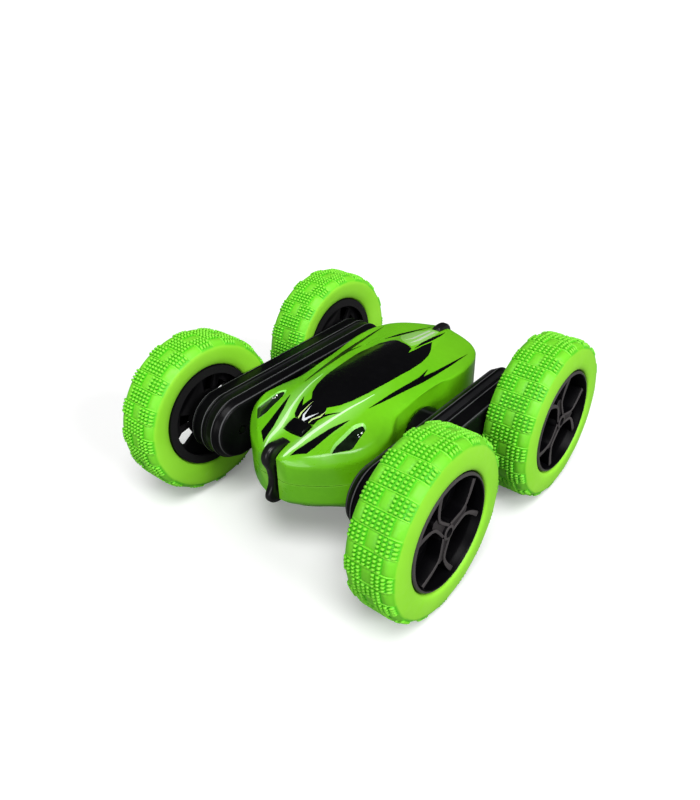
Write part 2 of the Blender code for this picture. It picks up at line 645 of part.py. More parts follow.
# Windows between the three forked spokes: r, degrees from the window's middle
SMALL_WINDOW = [(11.2, 0), (19.0, 26.5), (19.0, 9), (19.0, -9), (19.0, -26.5)]
LARGE_WINDOW = [(5.2, -35), (9.4, -49), (19.0, -27), (19.0, -9),
                (19.0, 9), (19.0, 27), (9.4, 49), (5.2, 35)]
SPOKE_WINDOWS = [SMALL_WINDOW, [(r, 60.0 + deg) for r, deg in LARGE_WINDOW]]
# Slots of the dish behind the spokes: first and last angle, inner and outer radius
DISH_SLOTS = [(-3.0, 18.0, 9.3, 14.4), (-36.5, -13.5, 10.0, 16.4)]


def dish_windows():
    windows = []
    for first, last, r_in, r_out in DISH_SLOTS:
        middle = (first + last) / 2
        windows.append([(r_in, first), (r_in, middle), (r_in, last),
                        (r_out, last), (r_out, middle), (r_out, first)])
    return windows


def pierced_disc(outer, windows, phase):
    """Disc outline followed by its windows, repeated at three places round the wheel."""
    return [outer] + [[polar(r, phase + 120.0 * k + deg) for r, deg in window]
                      for k in range(3) for window in windows]


def wheel_ring(name, profile):
    """Ring whose profile radii are to the flats of its facets."""
    k = flat_scale(TYRE_SEG)
    return revolve(name, [(r * k, z) for r, z in profile], TYRE_SEG)


def wheel(side, label, end_sign):
    y = end_sign * HALF_WHEELBASE
    tyre = wheel_ring(f"{label}_tyre", TYRE_PROFILE)
    keep(orient(tyre, side, y, HALF_FACET), TYRE_GREEN)

    rim = wheel_ring(f"{label}_rim", RIM_PROFILE)
    # The whole wheel is turned by half a facet, so the spoke angle is taken back by it.
    phase = RIM_PHASES[(side, end_sign)] - HALF_FACET
    spokes = prism(label + "_spokes",
                   pierced_disc(circle(19.95, 16), SPOKE_WINDOWS, phase), 55.8, 61.5)
    dish = prism(label + "_dish",
                 pierced_disc(circle(19.9, 16, phase=0.23), dish_windows(), phase), 50.3, 51.5)
    hub = prism(label + "_hub", [circle(3.9, 12)], 50.0, 63.7)
    hub_bore = prism(label + "_hub_bore", [circle(1.75, 8)], 45.0, 65.0)
    for ob in (rim, spokes, dish, hub, hub_bore):
        orient(ob, side, y, HALF_FACET)
    keep(rim, GUNMETAL)
    for tool in (spokes, dish, hub):
        add(rim, tool)
    cut(rim, hub_bore)
    merge_flats(rim)


# ---------------------------------------------------------------- assembly
body_shells()
battery_door()
for bumper_name, (outer_edge, inner_edge) in BUMPERS.items():
    bumper(bumper_name, outer_edge, inner_edge)
for half_sign, half_name in HALVES:
    hood_scoop(half_sign, half_name)
    headlights(half_sign, half_name)
battery_pack()
circuit_board()
power_switch()
body_screws()
for side_sign, side_label in SIDES:
    drive(side_sign, side_label)
    arm_cover(f"{side_label}_arm_inner_cover", side_sign, inner=True)
    arm_cover(f"{side_label}_arm_outer_cover", side_sign, inner=False)
    for axle_sign, end_label in ENDS:
        arm_train(side_sign, f"{side_label}_{end_label}", axle_sign)
        wheel(side_sign, f"{side_label}_{end_label}", axle_sign)
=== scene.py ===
"""Looks of a double-sided stunt car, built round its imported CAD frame.

X is lateral (the side named right is +X), Y lengthwise (nose at -Y), Z up. Dimensions are in
millimetres and scaled by MM. A sign of 1 means the upper half of the body, -1 the lower half.
"""
import math
import random

import bmesh
import bpy
import numpy as np
from mathutils import Matrix, Vector
from mathutils.bvhtree import BVHTree
from mathutils.geometry import delaunay_2d_cdt


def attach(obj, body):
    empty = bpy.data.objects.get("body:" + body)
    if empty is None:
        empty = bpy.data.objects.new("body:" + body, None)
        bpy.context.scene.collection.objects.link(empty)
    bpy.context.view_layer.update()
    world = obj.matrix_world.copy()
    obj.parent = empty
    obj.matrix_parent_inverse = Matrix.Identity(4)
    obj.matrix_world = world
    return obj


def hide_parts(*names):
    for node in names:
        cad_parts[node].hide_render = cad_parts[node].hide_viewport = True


MM = 0.001
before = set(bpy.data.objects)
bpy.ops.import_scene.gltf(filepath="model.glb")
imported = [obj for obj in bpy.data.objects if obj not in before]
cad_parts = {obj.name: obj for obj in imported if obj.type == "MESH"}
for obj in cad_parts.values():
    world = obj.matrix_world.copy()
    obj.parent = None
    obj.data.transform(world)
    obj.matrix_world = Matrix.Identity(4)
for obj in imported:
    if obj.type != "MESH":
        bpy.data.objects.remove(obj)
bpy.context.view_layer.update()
scene = bpy.context.scene
random.seed(11)

WHEEL_Y = 40.0
HALVES = ((1, "upper"), (-1, "lower"))
SIDES = ((1, "right"), (-1, "left"))
ENDS = ((-1, "front"), (1, "rear"))


# ------------------------------------------------------------------ mesh helpers
def shade(body, angle):
    body.data.shade_smooth()
    body.data.set_sharp_from_angle(angle=math.radians(angle))


def tidy(mesh, edit=None):
    """Runs edit on the mesh's geometry, if given, and turns its faces outwards."""
    geometry = bmesh.new()
    geometry.from_mesh(mesh)
    if edit:
        edit(geometry)
    bmesh.ops.recalc_face_normals(geometry, faces=geometry.faces)
    geometry.to_mesh(mesh)
    geometry.free()


def link_object(name, data):
    body = bpy.data.objects.new(name, data)
    scene.collection.objects.link(body)
    return body


def new_object(name, verts, faces, smooth=35.0):
    mesh = bpy.data.meshes.new(name)
    mesh.from_pydata(verts, [], faces)
    mesh.validate()
    tidy(mesh)
    body = link_object(name, mesh)
    shade(body, smooth)
    return body


def apply_modifiers(body):
    bpy.context.view_layer.update()
    graph = bpy.context.evaluated_depsgraph_get()
    mesh = bpy.data.meshes.new_from_object(body.evaluated_get(graph), depsgraph=graph)
    body.modifiers.clear()
    old = body.data
    body.data = mesh
    bpy.data.meshes.remove(old)
    mesh.name = body.name


def boolean(body, tools, operation):
    """One exact Boolean with all the tools joined; the tools are used up."""
    bpy.context.view_layer.update()
    joined = bmesh.new()
    for tool in tools:
        part = bmesh.new()
        part.from_mesh(tool.data)
        part.transform(tool.matrix_world)
        placed = bpy.data.meshes.new("placed")
        part.to_mesh(placed)
        part.free()
        joined.from_mesh(placed)
        bpy.data.meshes.remove(placed)
    mesh = bpy.data.meshes.new("cutters")
    joined.to_mesh(mesh)
    joined.free()
    cutters = link_object("cutters", mesh)
    modifier = body.modifiers.new("boolean", "BOOLEAN")
    modifier.operation = operation
    modifier.solver = "EXACT"
    modifier.object = cutters
    apply_modifiers(body)
    for tool in (cutters, *tools):
        bpy.data.objects.remove(tool)


def smooth_path(path, steps):
    """Points of an open Catmull-Rom curve through path, steps to each span."""
    knots = [np.array(point, float) for point in path]
    before = 2 * knots[0] - knots[1]
    after = 2 * knots[-1] - knots[-2]
    knots = [before, *knots, after]
    out = []
    for a, b, c, d in zip(knots, knots[1:], knots[2:], knots[3:]):
        for k in range(steps):
            t = k / steps
            out.append(0.5 * (2 * b + (c - a) * t + (2 * a - 5 * b + 4 * c - d) * t * t
                              + (3 * b - a - 3 * c + d) * t ** 3))
    out.append(knots[-2])
    return [tuple(point) for point in out]


def rounded(points, radii, steps=4):
    """Outline with each corner turned into a small curve; a radius of 0 keeps the corner."""
    count = len(points)
    if not isinstance(radii, list):
        radii = [radii] * count
    out = []
    for i, radius in enumerate(radii):
        corner = Vector(points[i])
        if radius <= 0:
            out.append(tuple(corner))
            continue
        back, ahead = Vector(points[i - 1]) - corner, Vector(points[(i + 1) % count]) - corner
        reach = min(radius, 0.45 * back.length, 0.45 * ahead.length)
        start = corner + back.normalized() * reach
        end = corner + ahead.normalized() * reach
        for k in range(steps + 1):
            t = k / steps
            out.append(tuple(start * (1 - t) ** 2 + corner * 2 * t * (1 - t) + end * t * t))
    return out


def prism(name, outline, low, high, holes=(), bevel=0.0, segments=3, along_x=False, smooth=35.0,
          bevel_angle=40.0):
    """Outline extruded from low to high along Z; along_x lays an outline of (y, z) along X."""
    curve = bpy.data.curves.new(name, "CURVE")
    curve.dimensions = "2D"
    curve.fill_mode = "BOTH"
    curve.extrude = (high - low) / 2 * MM
    for loop in (outline, *holes):
        spline = curve.splines.new("POLY")
        spline.points.add(len(loop) - 1)
        for point, (x, y) in zip(spline.points, loop):
            point.co = (x * MM, y * MM, 0, 1)
        spline.use_cyclic_u = True
    holder = link_object(name + "_c", curve)
    mesh = bpy.data.meshes.new_from_object(holder)
    bpy.data.objects.remove(holder)
    bpy.data.curves.remove(curve)

    def weld_and_place(geometry):
        verts = geometry.verts
        bmesh.ops.remove_doubles(geometry, verts=verts, dist=1e-6)
        bmesh.ops.translate(geometry, verts=verts, vec=(0, 0, (low + high) / 2 * MM))
        bmesh.ops.dissolve_limit(geometry, angle_limit=0.002, verts=verts, edges=geometry.edges)
        if along_x:
            turn = Matrix(((0, 0, 1), (1, 0, 0), (0, 1, 0))).to_4x4()
            bmesh.ops.transform(geometry, matrix=turn, verts=verts)

    tidy(mesh, weld_and_place)
    body = link_object(name, mesh)
    if bevel > 0:
        modifier = body.modifiers.new("round", "BEVEL")
        modifier.width = bevel * MM
        modifier.segments = segments
        modifier.limit_method = "ANGLE"
        modifier.angle_limit = math.radians(bevel_angle)
        apply_modifiers(body)
    shade(body, smooth)
    return body


def revolve(name, profile, steps, phase, band=False, smooth=35.0):
    """(r, x) profile turned about X: a closed band, or a solid with its ends on the axis."""
    verts, faces = [], []
    count = len(profile)
    for k in range(steps):
        angle = phase + 2 * math.pi * k / steps
        for r, x in profile:
            verts.append((x * MM, r * math.cos(angle) * MM, r * math.sin(angle) * MM))
    for k in range(steps):
        here, ahead = k * count, (k + 1) % steps * count
        for i in range(count if band else count - 1):
            j = (i + 1) % count
            faces.append((here + i, here + j, ahead + j, ahead + i))
    body = new_object(name, verts, faces, smooth)

    def weld(geometry):
        bmesh.ops.remove_doubles(geometry, verts=geometry.verts, dist=1e-6)
        bmesh.ops.dissolve_degenerate(geometry, dist=1e-7, edges=geometry.edges)

    tidy(body.data, weld)
    shade(body, smooth)
    return body


def rod(name, radius, x0, x1, steps, phase):
    return revolve(name, [(0, x0), (radius, x0), (radius, x1), (0, x1)], steps, phase)


def circle(radius, steps, x=0.0, y=0.0):
    # The first point stands off the axes, which keeps Boolean cuts off each other's edges.
    angles = [0.11 + 2 * math.pi * i / steps for i in range(steps)]
    return [(x + radius * math.cos(angle), y + radius * math.sin(angle)) for angle in angles]


def rectangle(x0, x1, y0, y1):
    return [(x0, y0), (x1, y0), (x1, y1), (x0, y1)]


# ------------------------------------------------------------------ materials
class Shader:
    """A Principled material with layers of procedural noise."""

    def __init__(self, name, roughness, metallic=0.0, coat=0.0, coat_roughness=0.05,
                 specular=0.5):
        self.material = bpy.data.materials.new(name)
        self.material.use_nodes = True
        self.tree = self.material.node_tree
        self.principled = self.tree.nodes["Principled BSDF"]
        self.fill(self.principled, {
            "Metallic": metallic, "Roughness": roughness, "Coat Weight": coat,
            "Coat Roughness": coat_roughness, "Specular IOR Level": specular})
        self.position = self.add("ShaderNodeTexCoord").outputs["Object"]

    def fill(self, node, inputs):
        """Links each input that is given a socket and sets the others."""
        for key, value in inputs.items():
            if isinstance(value, bpy.types.NodeSocket):
                self.tree.links.new(value, node.inputs[key])
            else:
                node.inputs[key].default_value = value

    def add(self, kind, inputs=None, **properties):
        node = self.tree.nodes.new(kind)
        for key, value in properties.items():
            setattr(node, key, value)
        self.fill(node, inputs or {})
        return node

    def noise(self, scale, detail=3.0, roughness=0.55, stretch=None):
        position = self.position
        if stretch:
            mapping = self.add("ShaderNodeMapping", {"Scale": stretch, "Vector": position})
            position = mapping.outputs["Vector"]
        return self.add("ShaderNodeTexNoise", {
            "Scale": scale, "Detail": detail, "Roughness": roughness,
            "Vector": position}).outputs["Fac"]

    def ramp(self, value, between, to=(0.0, 1.0)):
        return self.add("ShaderNodeMapRange", {
            "Value": value, "From Min": between[0], "From Max": between[1],
            "To Min": to[0], "To Max": to[1]}).outputs["Result"]

    def patches(self, between=(0.3, 0.7), to=(0.0, 1.0), **noise):
        return self.ramp(self.noise(**noise), between, to)

    def mix(self, factor, *colours):
        """Blend of two colours; 6 and 7 are the Mix node's colour inputs, 2 its colour output."""
        first, second = ((*c, 1.0) if isinstance(c, tuple) else c for c in colours)
        inputs = {0: factor, 6: first, 7: second}
        return self.add("ShaderNodeMix", inputs, data_type="RGBA").outputs[2]

    def scaled(self, value, factor):
        return self.add("ShaderNodeMath", {0: value, 1: factor}, operation="MULTIPLY").outputs[0]

    def attribute(self, name):
        return self.add("ShaderNodeAttribute", attribute_name=name).outputs["Fac"]

    def edges(self):
        """1 on worn convex edges, 0 elsewhere."""
        pointiness = self.add("ShaderNodeNewGeometry").outputs["Pointiness"]
        return self.ramp(pointiness, between=(0.52, 0.62))

    def finish(self, colour, roughness, height, strength, distance):
        """Connects colour, roughness and bump to the surface and returns the material."""
        bump = self.add("ShaderNodeBump", {
            "Strength": strength, "Distance": distance, "Height": height})
        self.fill(self.principled, {
            "Base Color": colour, "Roughness": roughness, "Normal": bump.outputs["Normal"]})
        return self.material


def plastic(name, dark, light, roughness, coat, grain=2600.0, bump=0.05, wear=None, scuff=0.5,
            painted=None, specular=0.5):
    """Moulded plastic.

    grain and bump are the scale and strength of the fine relief, scuff the spread of the
    roughness, wear the colour of worn edges; painted maps mesh attributes to their colours.
    """
    shader = Shader(name, roughness, coat=coat, specular=specular)
    colour = shader.mix(shader.patches(scale=22.0, detail=2.0), dark, light)
    specks = shader.patches(scale=420.0, detail=4.0, between=(0.45, 0.75))
    pale = tuple(min(1.0, channel * 1.25 + 0.003) for channel in light)
    colour = shader.mix(shader.scaled(specks, 0.18), colour, pale)
    if wear:
        colour = shader.mix(shader.scaled(shader.edges(), 0.45), colour, wear)
    for attribute, paint in (painted or {}).items():
        colour = shader.mix(shader.attribute(attribute), colour, paint)
    scratches = shader.patches(
        scale=160.0, detail=5.0, roughness=0.6, stretch=(1.0, 0.12, 1.0), between=(0.35, 0.8),
        to=(roughness * (1 - 0.25 * scuff), roughness * (1 + 0.6 * scuff)))
    relief = shader.noise(scale=grain, detail=2.0)
    return shader.finish(colour, scratches, relief, strength=bump, distance=0.00012)


def ink(name, dark, light, roughness=0.30, coat=0.3, **extra):
    return plastic(name, dark, light, roughness, coat, grain=900.0, bump=0.02, **extra)


def rim_material():
    """Black dish with gunmetal paint on the spoke ribs and the inner band of the lip."""
    shader = Shader("black_and_gunmetal_rim", roughness=0.3, specular=0.07)
    broad = shader.patches(scale=30.0)
    black = shader.mix(broad, (0.0013, 0.0012, 0.0016), (0.0026, 0.0024, 0.0032))
    grey = shader.mix(broad, (0.048, 0.043, 0.044), (0.076, 0.069, 0.070))
    colour = shader.mix(shader.attribute("paint"), black, grey)
    colour = shader.mix(shader.scaled(shader.edges(), 0.14), colour, (0.10, 0.097, 0.10))
    scratches = shader.patches(scale=160.0, detail=5.0, roughness=0.6, stretch=(1.0, 0.2, 1.0),
                               between=(0.35, 0.8), to=(0.32, 0.50))
    relief = shader.noise(scale=1800.0, detail=2.0)
    return shader.finish(colour, scratches, relief, strength=0.05, distance=0.00012)


def metal(name, colour, roughness):
    shader = Shader(name, roughness, metallic=1.0)
    shadow = tuple(channel * 0.82 for channel in colour)
    tone = shader.mix(shader.patches(scale=60.0), shadow, colour)
    brushed = shader.noise(scale=900.0, detail=4.0, roughness=0.6, stretch=(0.06, 1.0, 1.0))
    sheen = shader.ramp(brushed, between=(0.3, 0.7), to=(roughness * 0.75, roughness * 1.5))
    return shader.finish(tone, sheen, brushed, strength=0.12, distance=0.00006)


def tyre_material():
    shader = Shader("lime_tyre_rubber", roughness=0.5, specular=0.45)
    broad = shader.patches(scale=30.0)
    side = shader.mix(broad, (0.275, 0.76, 0.022), (0.33, 0.83, 0.042))
    tread = shader.mix(broad, (0.148, 0.65, 0.010), (0.185, 0.71, 0.022))
    colour = shader.mix(shader.attribute("tread"), side, tread)
    # Painted highlight: paler green on the nub tips, the pads and the lines between rows.
    colour = shader.mix(shader.attribute("tip_highlight"), colour, (0.25, 0.83, 0.040))
    # Painted shade: darker green on the tread round the nubs' feet.
    colour = shader.mix(shader.attribute("gap_shade"), colour, (0.060, 0.56, 0.004))
    dust = shader.patches(scale=260.0, detail=4.0, between=(0.62, 0.8))
    colour = shader.mix(shader.scaled(dust, 0.12), colour, (0.50, 0.86, 0.22))
    sheen = shader.patches(scale=200.0, detail=4.0, to=(0.42, 0.62))
    return shader.finish(colour, sheen, shader.noise(scale=1700.0), strength=0.10,
                         distance=0.00015)


def lens_material():
    shader = Shader("dark_lens_gloss", roughness=0.10, coat=0.35, coat_roughness=0.03,
                    specular=0.4)
    cells = shader.add("ShaderNodeTexVoronoi", {"Scale": 420.0, "Vector": shader.position})
    depth = cells.outputs["Distance"]
    colour = shader.mix(shader.ramp(depth, between=(0.2, 0.9)), (0.002, 0.005, 0.002),
                        (0.009, 0.020, 0.008))
    sheen = shader.patches(scale=300.0, to=(0.08, 0.16))
    return shader.finish(colour, sheen, depth, strength=0.25, distance=0.0002)


def board_material():
    shader = Shader("board_green", roughness=0.4, coat=0.2)
    tracks = shader.add("ShaderNodeTexBrick", {
        "Scale": 160.0, "Color1": (0.02, 0.17, 0.06, 1), "Color2": (0.02, 0.22, 0.08, 1),
        "Mortar": (0.05, 0.34, 0.14, 1), "Vector": shader.position})
    sheen = shader.patches(scale=120.0, to=(0.3, 0.5))
    return shader.finish(tracks.outputs["Color"], sheen, tracks.outputs["Fac"], strength=0.2,
                         distance=0.0001)


# The shell's painted highlights: a pale band along the bonnet ridges and a pale border on the
# lamp pockets' sloped walls.
LIME = plastic(
    "lime_shell_gloss", dark=(0.125, 0.50, 0.003), light=(0.168, 0.575, 0.007), roughness=0.30,
    coat=0.30, grain=1500.0, bump=0.035, wear=(0.36, 0.88, 0.08),
    painted={"painted_ridge_highlight": (0.48, 0.95, 0.30), "pocket_wall_highlight": (0.33, 0.86, 0.16)})
BLACK_PRINT = ink("black_gloss_print", (0.0016, 0.0016, 0.0019), (0.0032, 0.0032, 0.0038),
                  roughness=0.20, coat=0.05, scuff=0.4, specular=0.09)
WHITE_PRINT = ink("pale_streak_print", (0.62, 0.66, 0.70), (0.82, 0.86, 0.90), coat=0.2)
OLIVE_PRINT = ink("pale_lime_streak_print", (0.42, 0.62, 0.16), (0.60, 0.80, 0.28), coat=0.2)
MIST_PRINT = ink("mist_lime_print", (0.235, 0.63, 0.050), (0.31, 0.66, 0.14))
# Pale ink for the painted highlight along each bonnet ridge's crest.
RIDGE_HIGHLIGHT_INK = ink("painted_ridge_highlight_film", (0.54, 0.94, 0.40), (0.68, 0.99, 0.58), roughness=0.28)
SILVER_PRINT = ink("silver_streak_print", (0.42, 0.60, 0.32), (0.56, 0.68, 0.50))
# The arms' line attribute paints grey highlight lines on the rib crests and rounded edges.
BLACK = plastic(
    "black_arm_gloss", dark=(0.0017, 0.0016, 0.0020), light=(0.0036, 0.0034, 0.0042),
    roughness=0.36, coat=0.02, grain=1800.0, bump=0.06, wear=(0.030, 0.030, 0.033), scuff=0.6,
    painted={"line": (0.125, 0.125, 0.132)}, specular=0.075)
BUMPER = plastic(
    "black_bumper_rubber", dark=(0.0025, 0.0025, 0.0028), light=(0.0060, 0.0060, 0.0066),
    roughness=0.32, coat=0.12, grain=1500.0, bump=0.10, wear=(0.03, 0.03, 0.03), specular=0.3)
GUNMETAL = rim_material()
SWITCH = plastic("switch_black", dark=(0.006, 0.006, 0.006), light=(0.014, 0.014, 0.014),
                 roughness=0.45, coat=0.0)
NYLON = plastic("white_nylon", dark=(0.72, 0.70, 0.64), light=(0.84, 0.82, 0.77),
                roughness=0.48, coat=0.0, bump=0.08)
BATTERY = plastic("battery_wrap", dark=(0.03, 0.08, 0.34), light=(0.05, 0.13, 0.46),
                  roughness=0.35, coat=0.2)
STEEL = metal("brushed_steel", colour=(0.58, 0.58, 0.60), roughness=0.28)
BLACKENED = metal("blackened_steel", colour=(0.035, 0.035, 0.038), roughness=0.42)
BRASS = metal("brass_pinion", colour=(0.78, 0.58, 0.26), roughness=0.28)
TYRE = tyre_material()
LENS = lens_material()
CHROME = metal("lamp_chrome", colour=(0.86, 0.88, 0.90), roughness=0.14)
BOARD = board_material()


def dress(body, material):
    body.data.materials.clear()
    body.data.materials.append(material)


def piece(body, carrier, material, replaced=None):
    """Dresses a finished piece, hangs it on the empty of what it rides on and hides the CAD part
    it stands in for.
    """
    dress(body, material)
    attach(body, carrier)
    if replaced:
        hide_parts(replaced)


# ------------------------------------------------------------------ body shells
# Cross sections of one half, nose to tail: y, then half width and height of the side wall's
# top, of the shoulder and of the ridge, then the height of the middle.
SECTIONS = np.array([
    (-53.8, 6.0, 7.8, 4.6, 8.5, 3.2, 8.8, 8.7),
    (-52.7, 9.0, 7.85, 6.6, 9.3, 3.8, 9.9, 9.7),
    (-51.2, 11.8, 7.9, 8.6, 9.9, 4.2, 10.6, 10.3),
    (-49.0, 15.2, 8.0, 11.2, 10.8, 4.8, 11.6, 11.0),
    (-46.4, 18.5, 8.1, 14.2, 11.2, 5.4, 12.2, 11.6),
    (-43.4, 21.5, 8.5, 17.2, 11.6, 6.0, 13.0, 12.2),
    (-38.5, 25.6, 9.3, 22.8, 12.2, 7.0, 14.6, 13.1),
    (-34.0, 27.8, 10.2, 25.4, 12.8, 8.0, 15.9, 15.3),
    (-29.5, 28.6, 10.9, 26.4, 13.4, 9.2, 16.9, 17.5),
    (-25.0, 28.3, 11.5, 25.6, 13.8, 10.4, 17.6, 18.6),
    (-21.0, 27.4, 12.3, 24.0, 14.3, 11.2, 18.0, 19.2),
    (-16.5, 25.2, 13.3, 22.4, 14.8, 11.9, 18.2, 19.8),
    (-12.5, 23.7, 14.0, 22.2, 15.0, 12.4, 18.3, 20.2),
    (-6.0, 23.5, 14.4, 22.8, 15.2, 12.8, 18.4, 20.5),
    (0.0, 23.5, 14.6, 23.4, 15.3, 12.9, 18.4, 20.6),
    (6.0, 23.5, 14.8, 23.8, 15.4, 12.8, 18.4, 20.6),
    (12.5, 23.8, 15.0, 24.4, 15.6, 12.2, 18.2, 20.4),
    (19.0, 25.8, 15.1, 25.2, 15.7, 11.0, 18.0, 20.0),
    (27.0, 26.6, 15.3, 25.2, 15.9, 9.6, 17.8, 19.4),
    (35.0, 25.8, 15.5, 24.2, 16.1, 8.2, 17.6, 18.7),
    (42.5, 23.0, 15.7, 21.4, 16.2, 6.8, 17.3, 18.0),
    (47.5, 18.4, 15.8, 16.8, 16.3, 5.4, 17.0, 17.5),
    (51.0, 12.2, 15.8, 10.8, 16.3, 4.2, 16.7, 17.0),
    (53.4, 5.4, 15.8, 4.6, 16.2, 3.2, 16.4, 16.5),
])
PARTING_Z = 0.15  # each half stops this far from the middle plane
WALL = 1.6
DOOR = (-14.0, 14.0, 23.0, 42.2)  # x0, x1, y0, y1 of the opening in the lower shell
DOOR_GAP = 0.3
DOOR_SCREW_Y = 26.0
POSTS = [(side * x, y) for x, y in ((19.0, -24.0), (20.3, 33.0)) for side in (1, -1)]
SCREW_R = 1.3
POST_STEPS, HOLE_STEPS = 20, 16

# Lamp outline (x, y) on the +X side.
LAMP = [(17.9, -43.0), (17.1, -39.8), (17.4, -34.7), (17.5, -30.0), (19.0, -26.6),
        (21.3, -28.2), (22.9, -38.0)]
# The lower lamps stop short of the front screw holes.
LAMPS = {1: LAMP, -1: [(x, y if y < -33 else y - 1.5) for x, y in LAMP]}
LAMP_X = sum(x for x, y in LAMP) / len(LAMP)
LAMP_Y = sum(y for x, y in LAMP) / len(LAMP)
LAMP_TOP = 12.8  # skin height in the lamps' flat drawing

# Painted highlight along the ridge, a pale band on the shell: y, x, width, strength.
RIDGE_HIGHLIGHT_BAND = np.array([
    (-53.0, 4.3, 1.0, 0.15), (-51.5, 4.8, 1.2, 0.25), (-48.0, 5.6, 1.6, 0.42),
    (-43.0, 6.1, 2.0, 0.55), (-38.6, 7.1, 2.0, 0.50), (-34.5, 8.4, 1.8, 0.40),
    (-28.5, 9.9, 1.4, 0.32), (-19.0, 11.8, 1.1, 0.2), (-12.0, 12.6, 0.9, 0.08),
    (0.0, 13.0, 0.7, 0.0),
])


def monotone_cubic(x, y, at):
    """Monotone cubic interpolation: the body's lines run smoothly between the sections."""
    h = np.diff(x)
    rise = np.diff(y) / h
    slope = np.zeros(len(x))
    for i in range(1, len(x) - 1):
        if rise[i - 1] * rise[i] > 0:
            w1, w2 = 2 * h[i] + h[i - 1], h[i] + 2 * h[i - 1]
            slope[i] = (w1 + w2) / (w1 / rise[i - 1] + w2 / rise[i])
    slope[0], slope[-1] = rise[0], rise[-1]
    k = np.clip(np.searchsorted(x, at) - 1, 0, len(h) - 1)
    t = (at - x[k]) / h[k]
    return ((1 + 2 * t) * (1 - t) ** 2 * y[k] + t * (1 - t) ** 2 * h[k] * slope[k]
            + t * t * (3 - 2 * t) * y[k + 1] + t * t * (t - 1) * h[k] * slope[k + 1])


# Denser rings at the nose and tail, where the plan turns in.
STATIONS = np.concatenate([np.linspace(-53.8, -49, 12)[:-1], np.linspace(-49, 47.5, 104),
                           np.linspace(47.5, 53.4, 11)[1:]])
RINGS = np.stack([STATIONS] + [monotone_cubic(SECTIONS[:, 0], SECTIONS[:, k], STATIONS)
                               for k in range(1, 8)], 1)


def half_section(row, outer):
    _, side, side_z, shoulder, shoulder_z, ridge, ridge_z, middle_z = row
    points = [(side, PARTING_Z), (side, side_z), (shoulder, shoulder_z),
              ((shoulder + ridge) / 2 + 0.6, shoulder_z + (ridge_z - shoulder_z) * 0.52),
              (ridge, ridge_z), (ridge * 0.5, ridge_z + (middle_z - ridge_z) * 0.8),
              (0.0, middle_z)]
    if not outer:
        return rounded(points, [0, 0.5, 0.5, 0.5, 0.3, 1, 0], 2)
    skin = rounded(points, [0, 1.3, 0.9, 2.5, 0.35, 4.0, 0])
    height = skin[1][1] - PARTING_Z
    return [(side, PARTING_Z + height * t) for t in (0.0, 0.06, 0.35, 0.7)] + skin[1:]


def full_ring(row, sign, outer):
    half = half_section(row, outer)
    points = half + [(-x, z) for x, z in reversed(half[:-1])]
    return [(x * MM, row[0] * MM, sign * z * MM) for x, z in points]


def inner_rows():
    """Sections of the inner skin: the plan outline moved in by the wall, the top lowered."""
    plan = [(0.0, RINGS[0][0])] + [(row[1], row[0]) for row in RINGS] + [(0.0, RINGS[-1][0])]
    rows = []
    for before, here, after in zip(plan, plan[1:], plan[2:]):
        way_in = Vector((here[0] - before[0], here[1] - before[1])).normalized()
        way_out = Vector((after[0] - here[0], after[1] - here[1])).normalized()
        normal = Vector((-way_in.y, way_in.x))
        mitre = (normal + Vector((-way_out.y, way_out.x))).normalized()
        reach = WALL / max(0.35, mitre.dot(normal))
        x, y = here[0] + mitre.x * reach, here[1] + mitre.y * reach
        side_z, shoulder, shoulder_z, ridge, ridge_z, middle_z = (
            float(np.interp(y, RINGS[:, 0], RINGS[:, k])) for k in range(2, 8))
        shoulder = min(shoulder - 0.9, x - 0.25)
        ridge = min(ridge, shoulder - 0.8)
        rows.append((y, x, side_z - 1.1, shoulder, shoulder_z - 1.5, ridge, ridge_z - WALL,
                     middle_z - WALL))
    return rows


def shell_solid(name, sign):
    """Outer and inner skin, joined along the open edge into one closed shell."""
    verts, faces, skins = [], [], []
    for rows, outer in ((RINGS, True), (inner_rows(), False)):
        rings = []
        for row in rows:
            ring = full_ring(row, sign, outer)
            rings.append(list(range(len(verts), len(verts) + len(ring))))
            verts += ring
        for ring, ahead in zip(rings, rings[1:]):
            for i in range(len(ring) - 1):
                faces.append((ring[i], ring[i + 1], ahead[i + 1], ahead[i]))
        faces.append(tuple(rings[0]))
        faces.append(tuple(rings[-1]))
        skins.append(rings)
    outside, inner = skins
    for side in (0, -1):
        for k in range(len(outside) - 1):
            faces.append((outside[k][side], outside[k + 1][side],
                          inner[k + 1][side], inner[k][side]))
    for end in (0, -1):
        faces.append((outside[end][0], inner[end][0], inner[end][-1], outside[end][-1]))
    return new_object(name, verts, faces, 32.0)


def surface(body):
    geometry = bmesh.new()
    geometry.from_mesh(body.data)
    tree = BVHTree.FromBMesh(geometry)
    geometry.free()
    return tree


def lamp_plane(tree):
    """Plane z = a x + b y + c through the upper skin over the +X lamp's corners."""
    rows, heights = [], []
    for x, y in LAMP:
        spot = tree.ray_cast(Vector((x * MM, y * MM, 0.04)), Vector((0, 0, -1)))[0]
        if spot is not None:
            rows.append((x, y, 1.0))
            heights.append(spot.z / MM)
    return [float(v) for v in np.linalg.lstsq(np.array(rows), np.array(heights), rcond=None)[0]]


def lean(body, side, sign):
    """Leans a lamp part from its flat drawing, skin at LAMP_TOP, on to the bonnet's slope."""
    per_x, per_y, level = SLOPE
    for vert in body.data.vertices:
        x, y = side * vert.co.x / MM, vert.co.y / MM
        vert.co.z += sign * (per_x * x + per_y * y + level - LAMP_TOP) * MM
    body.data.update()
    return body


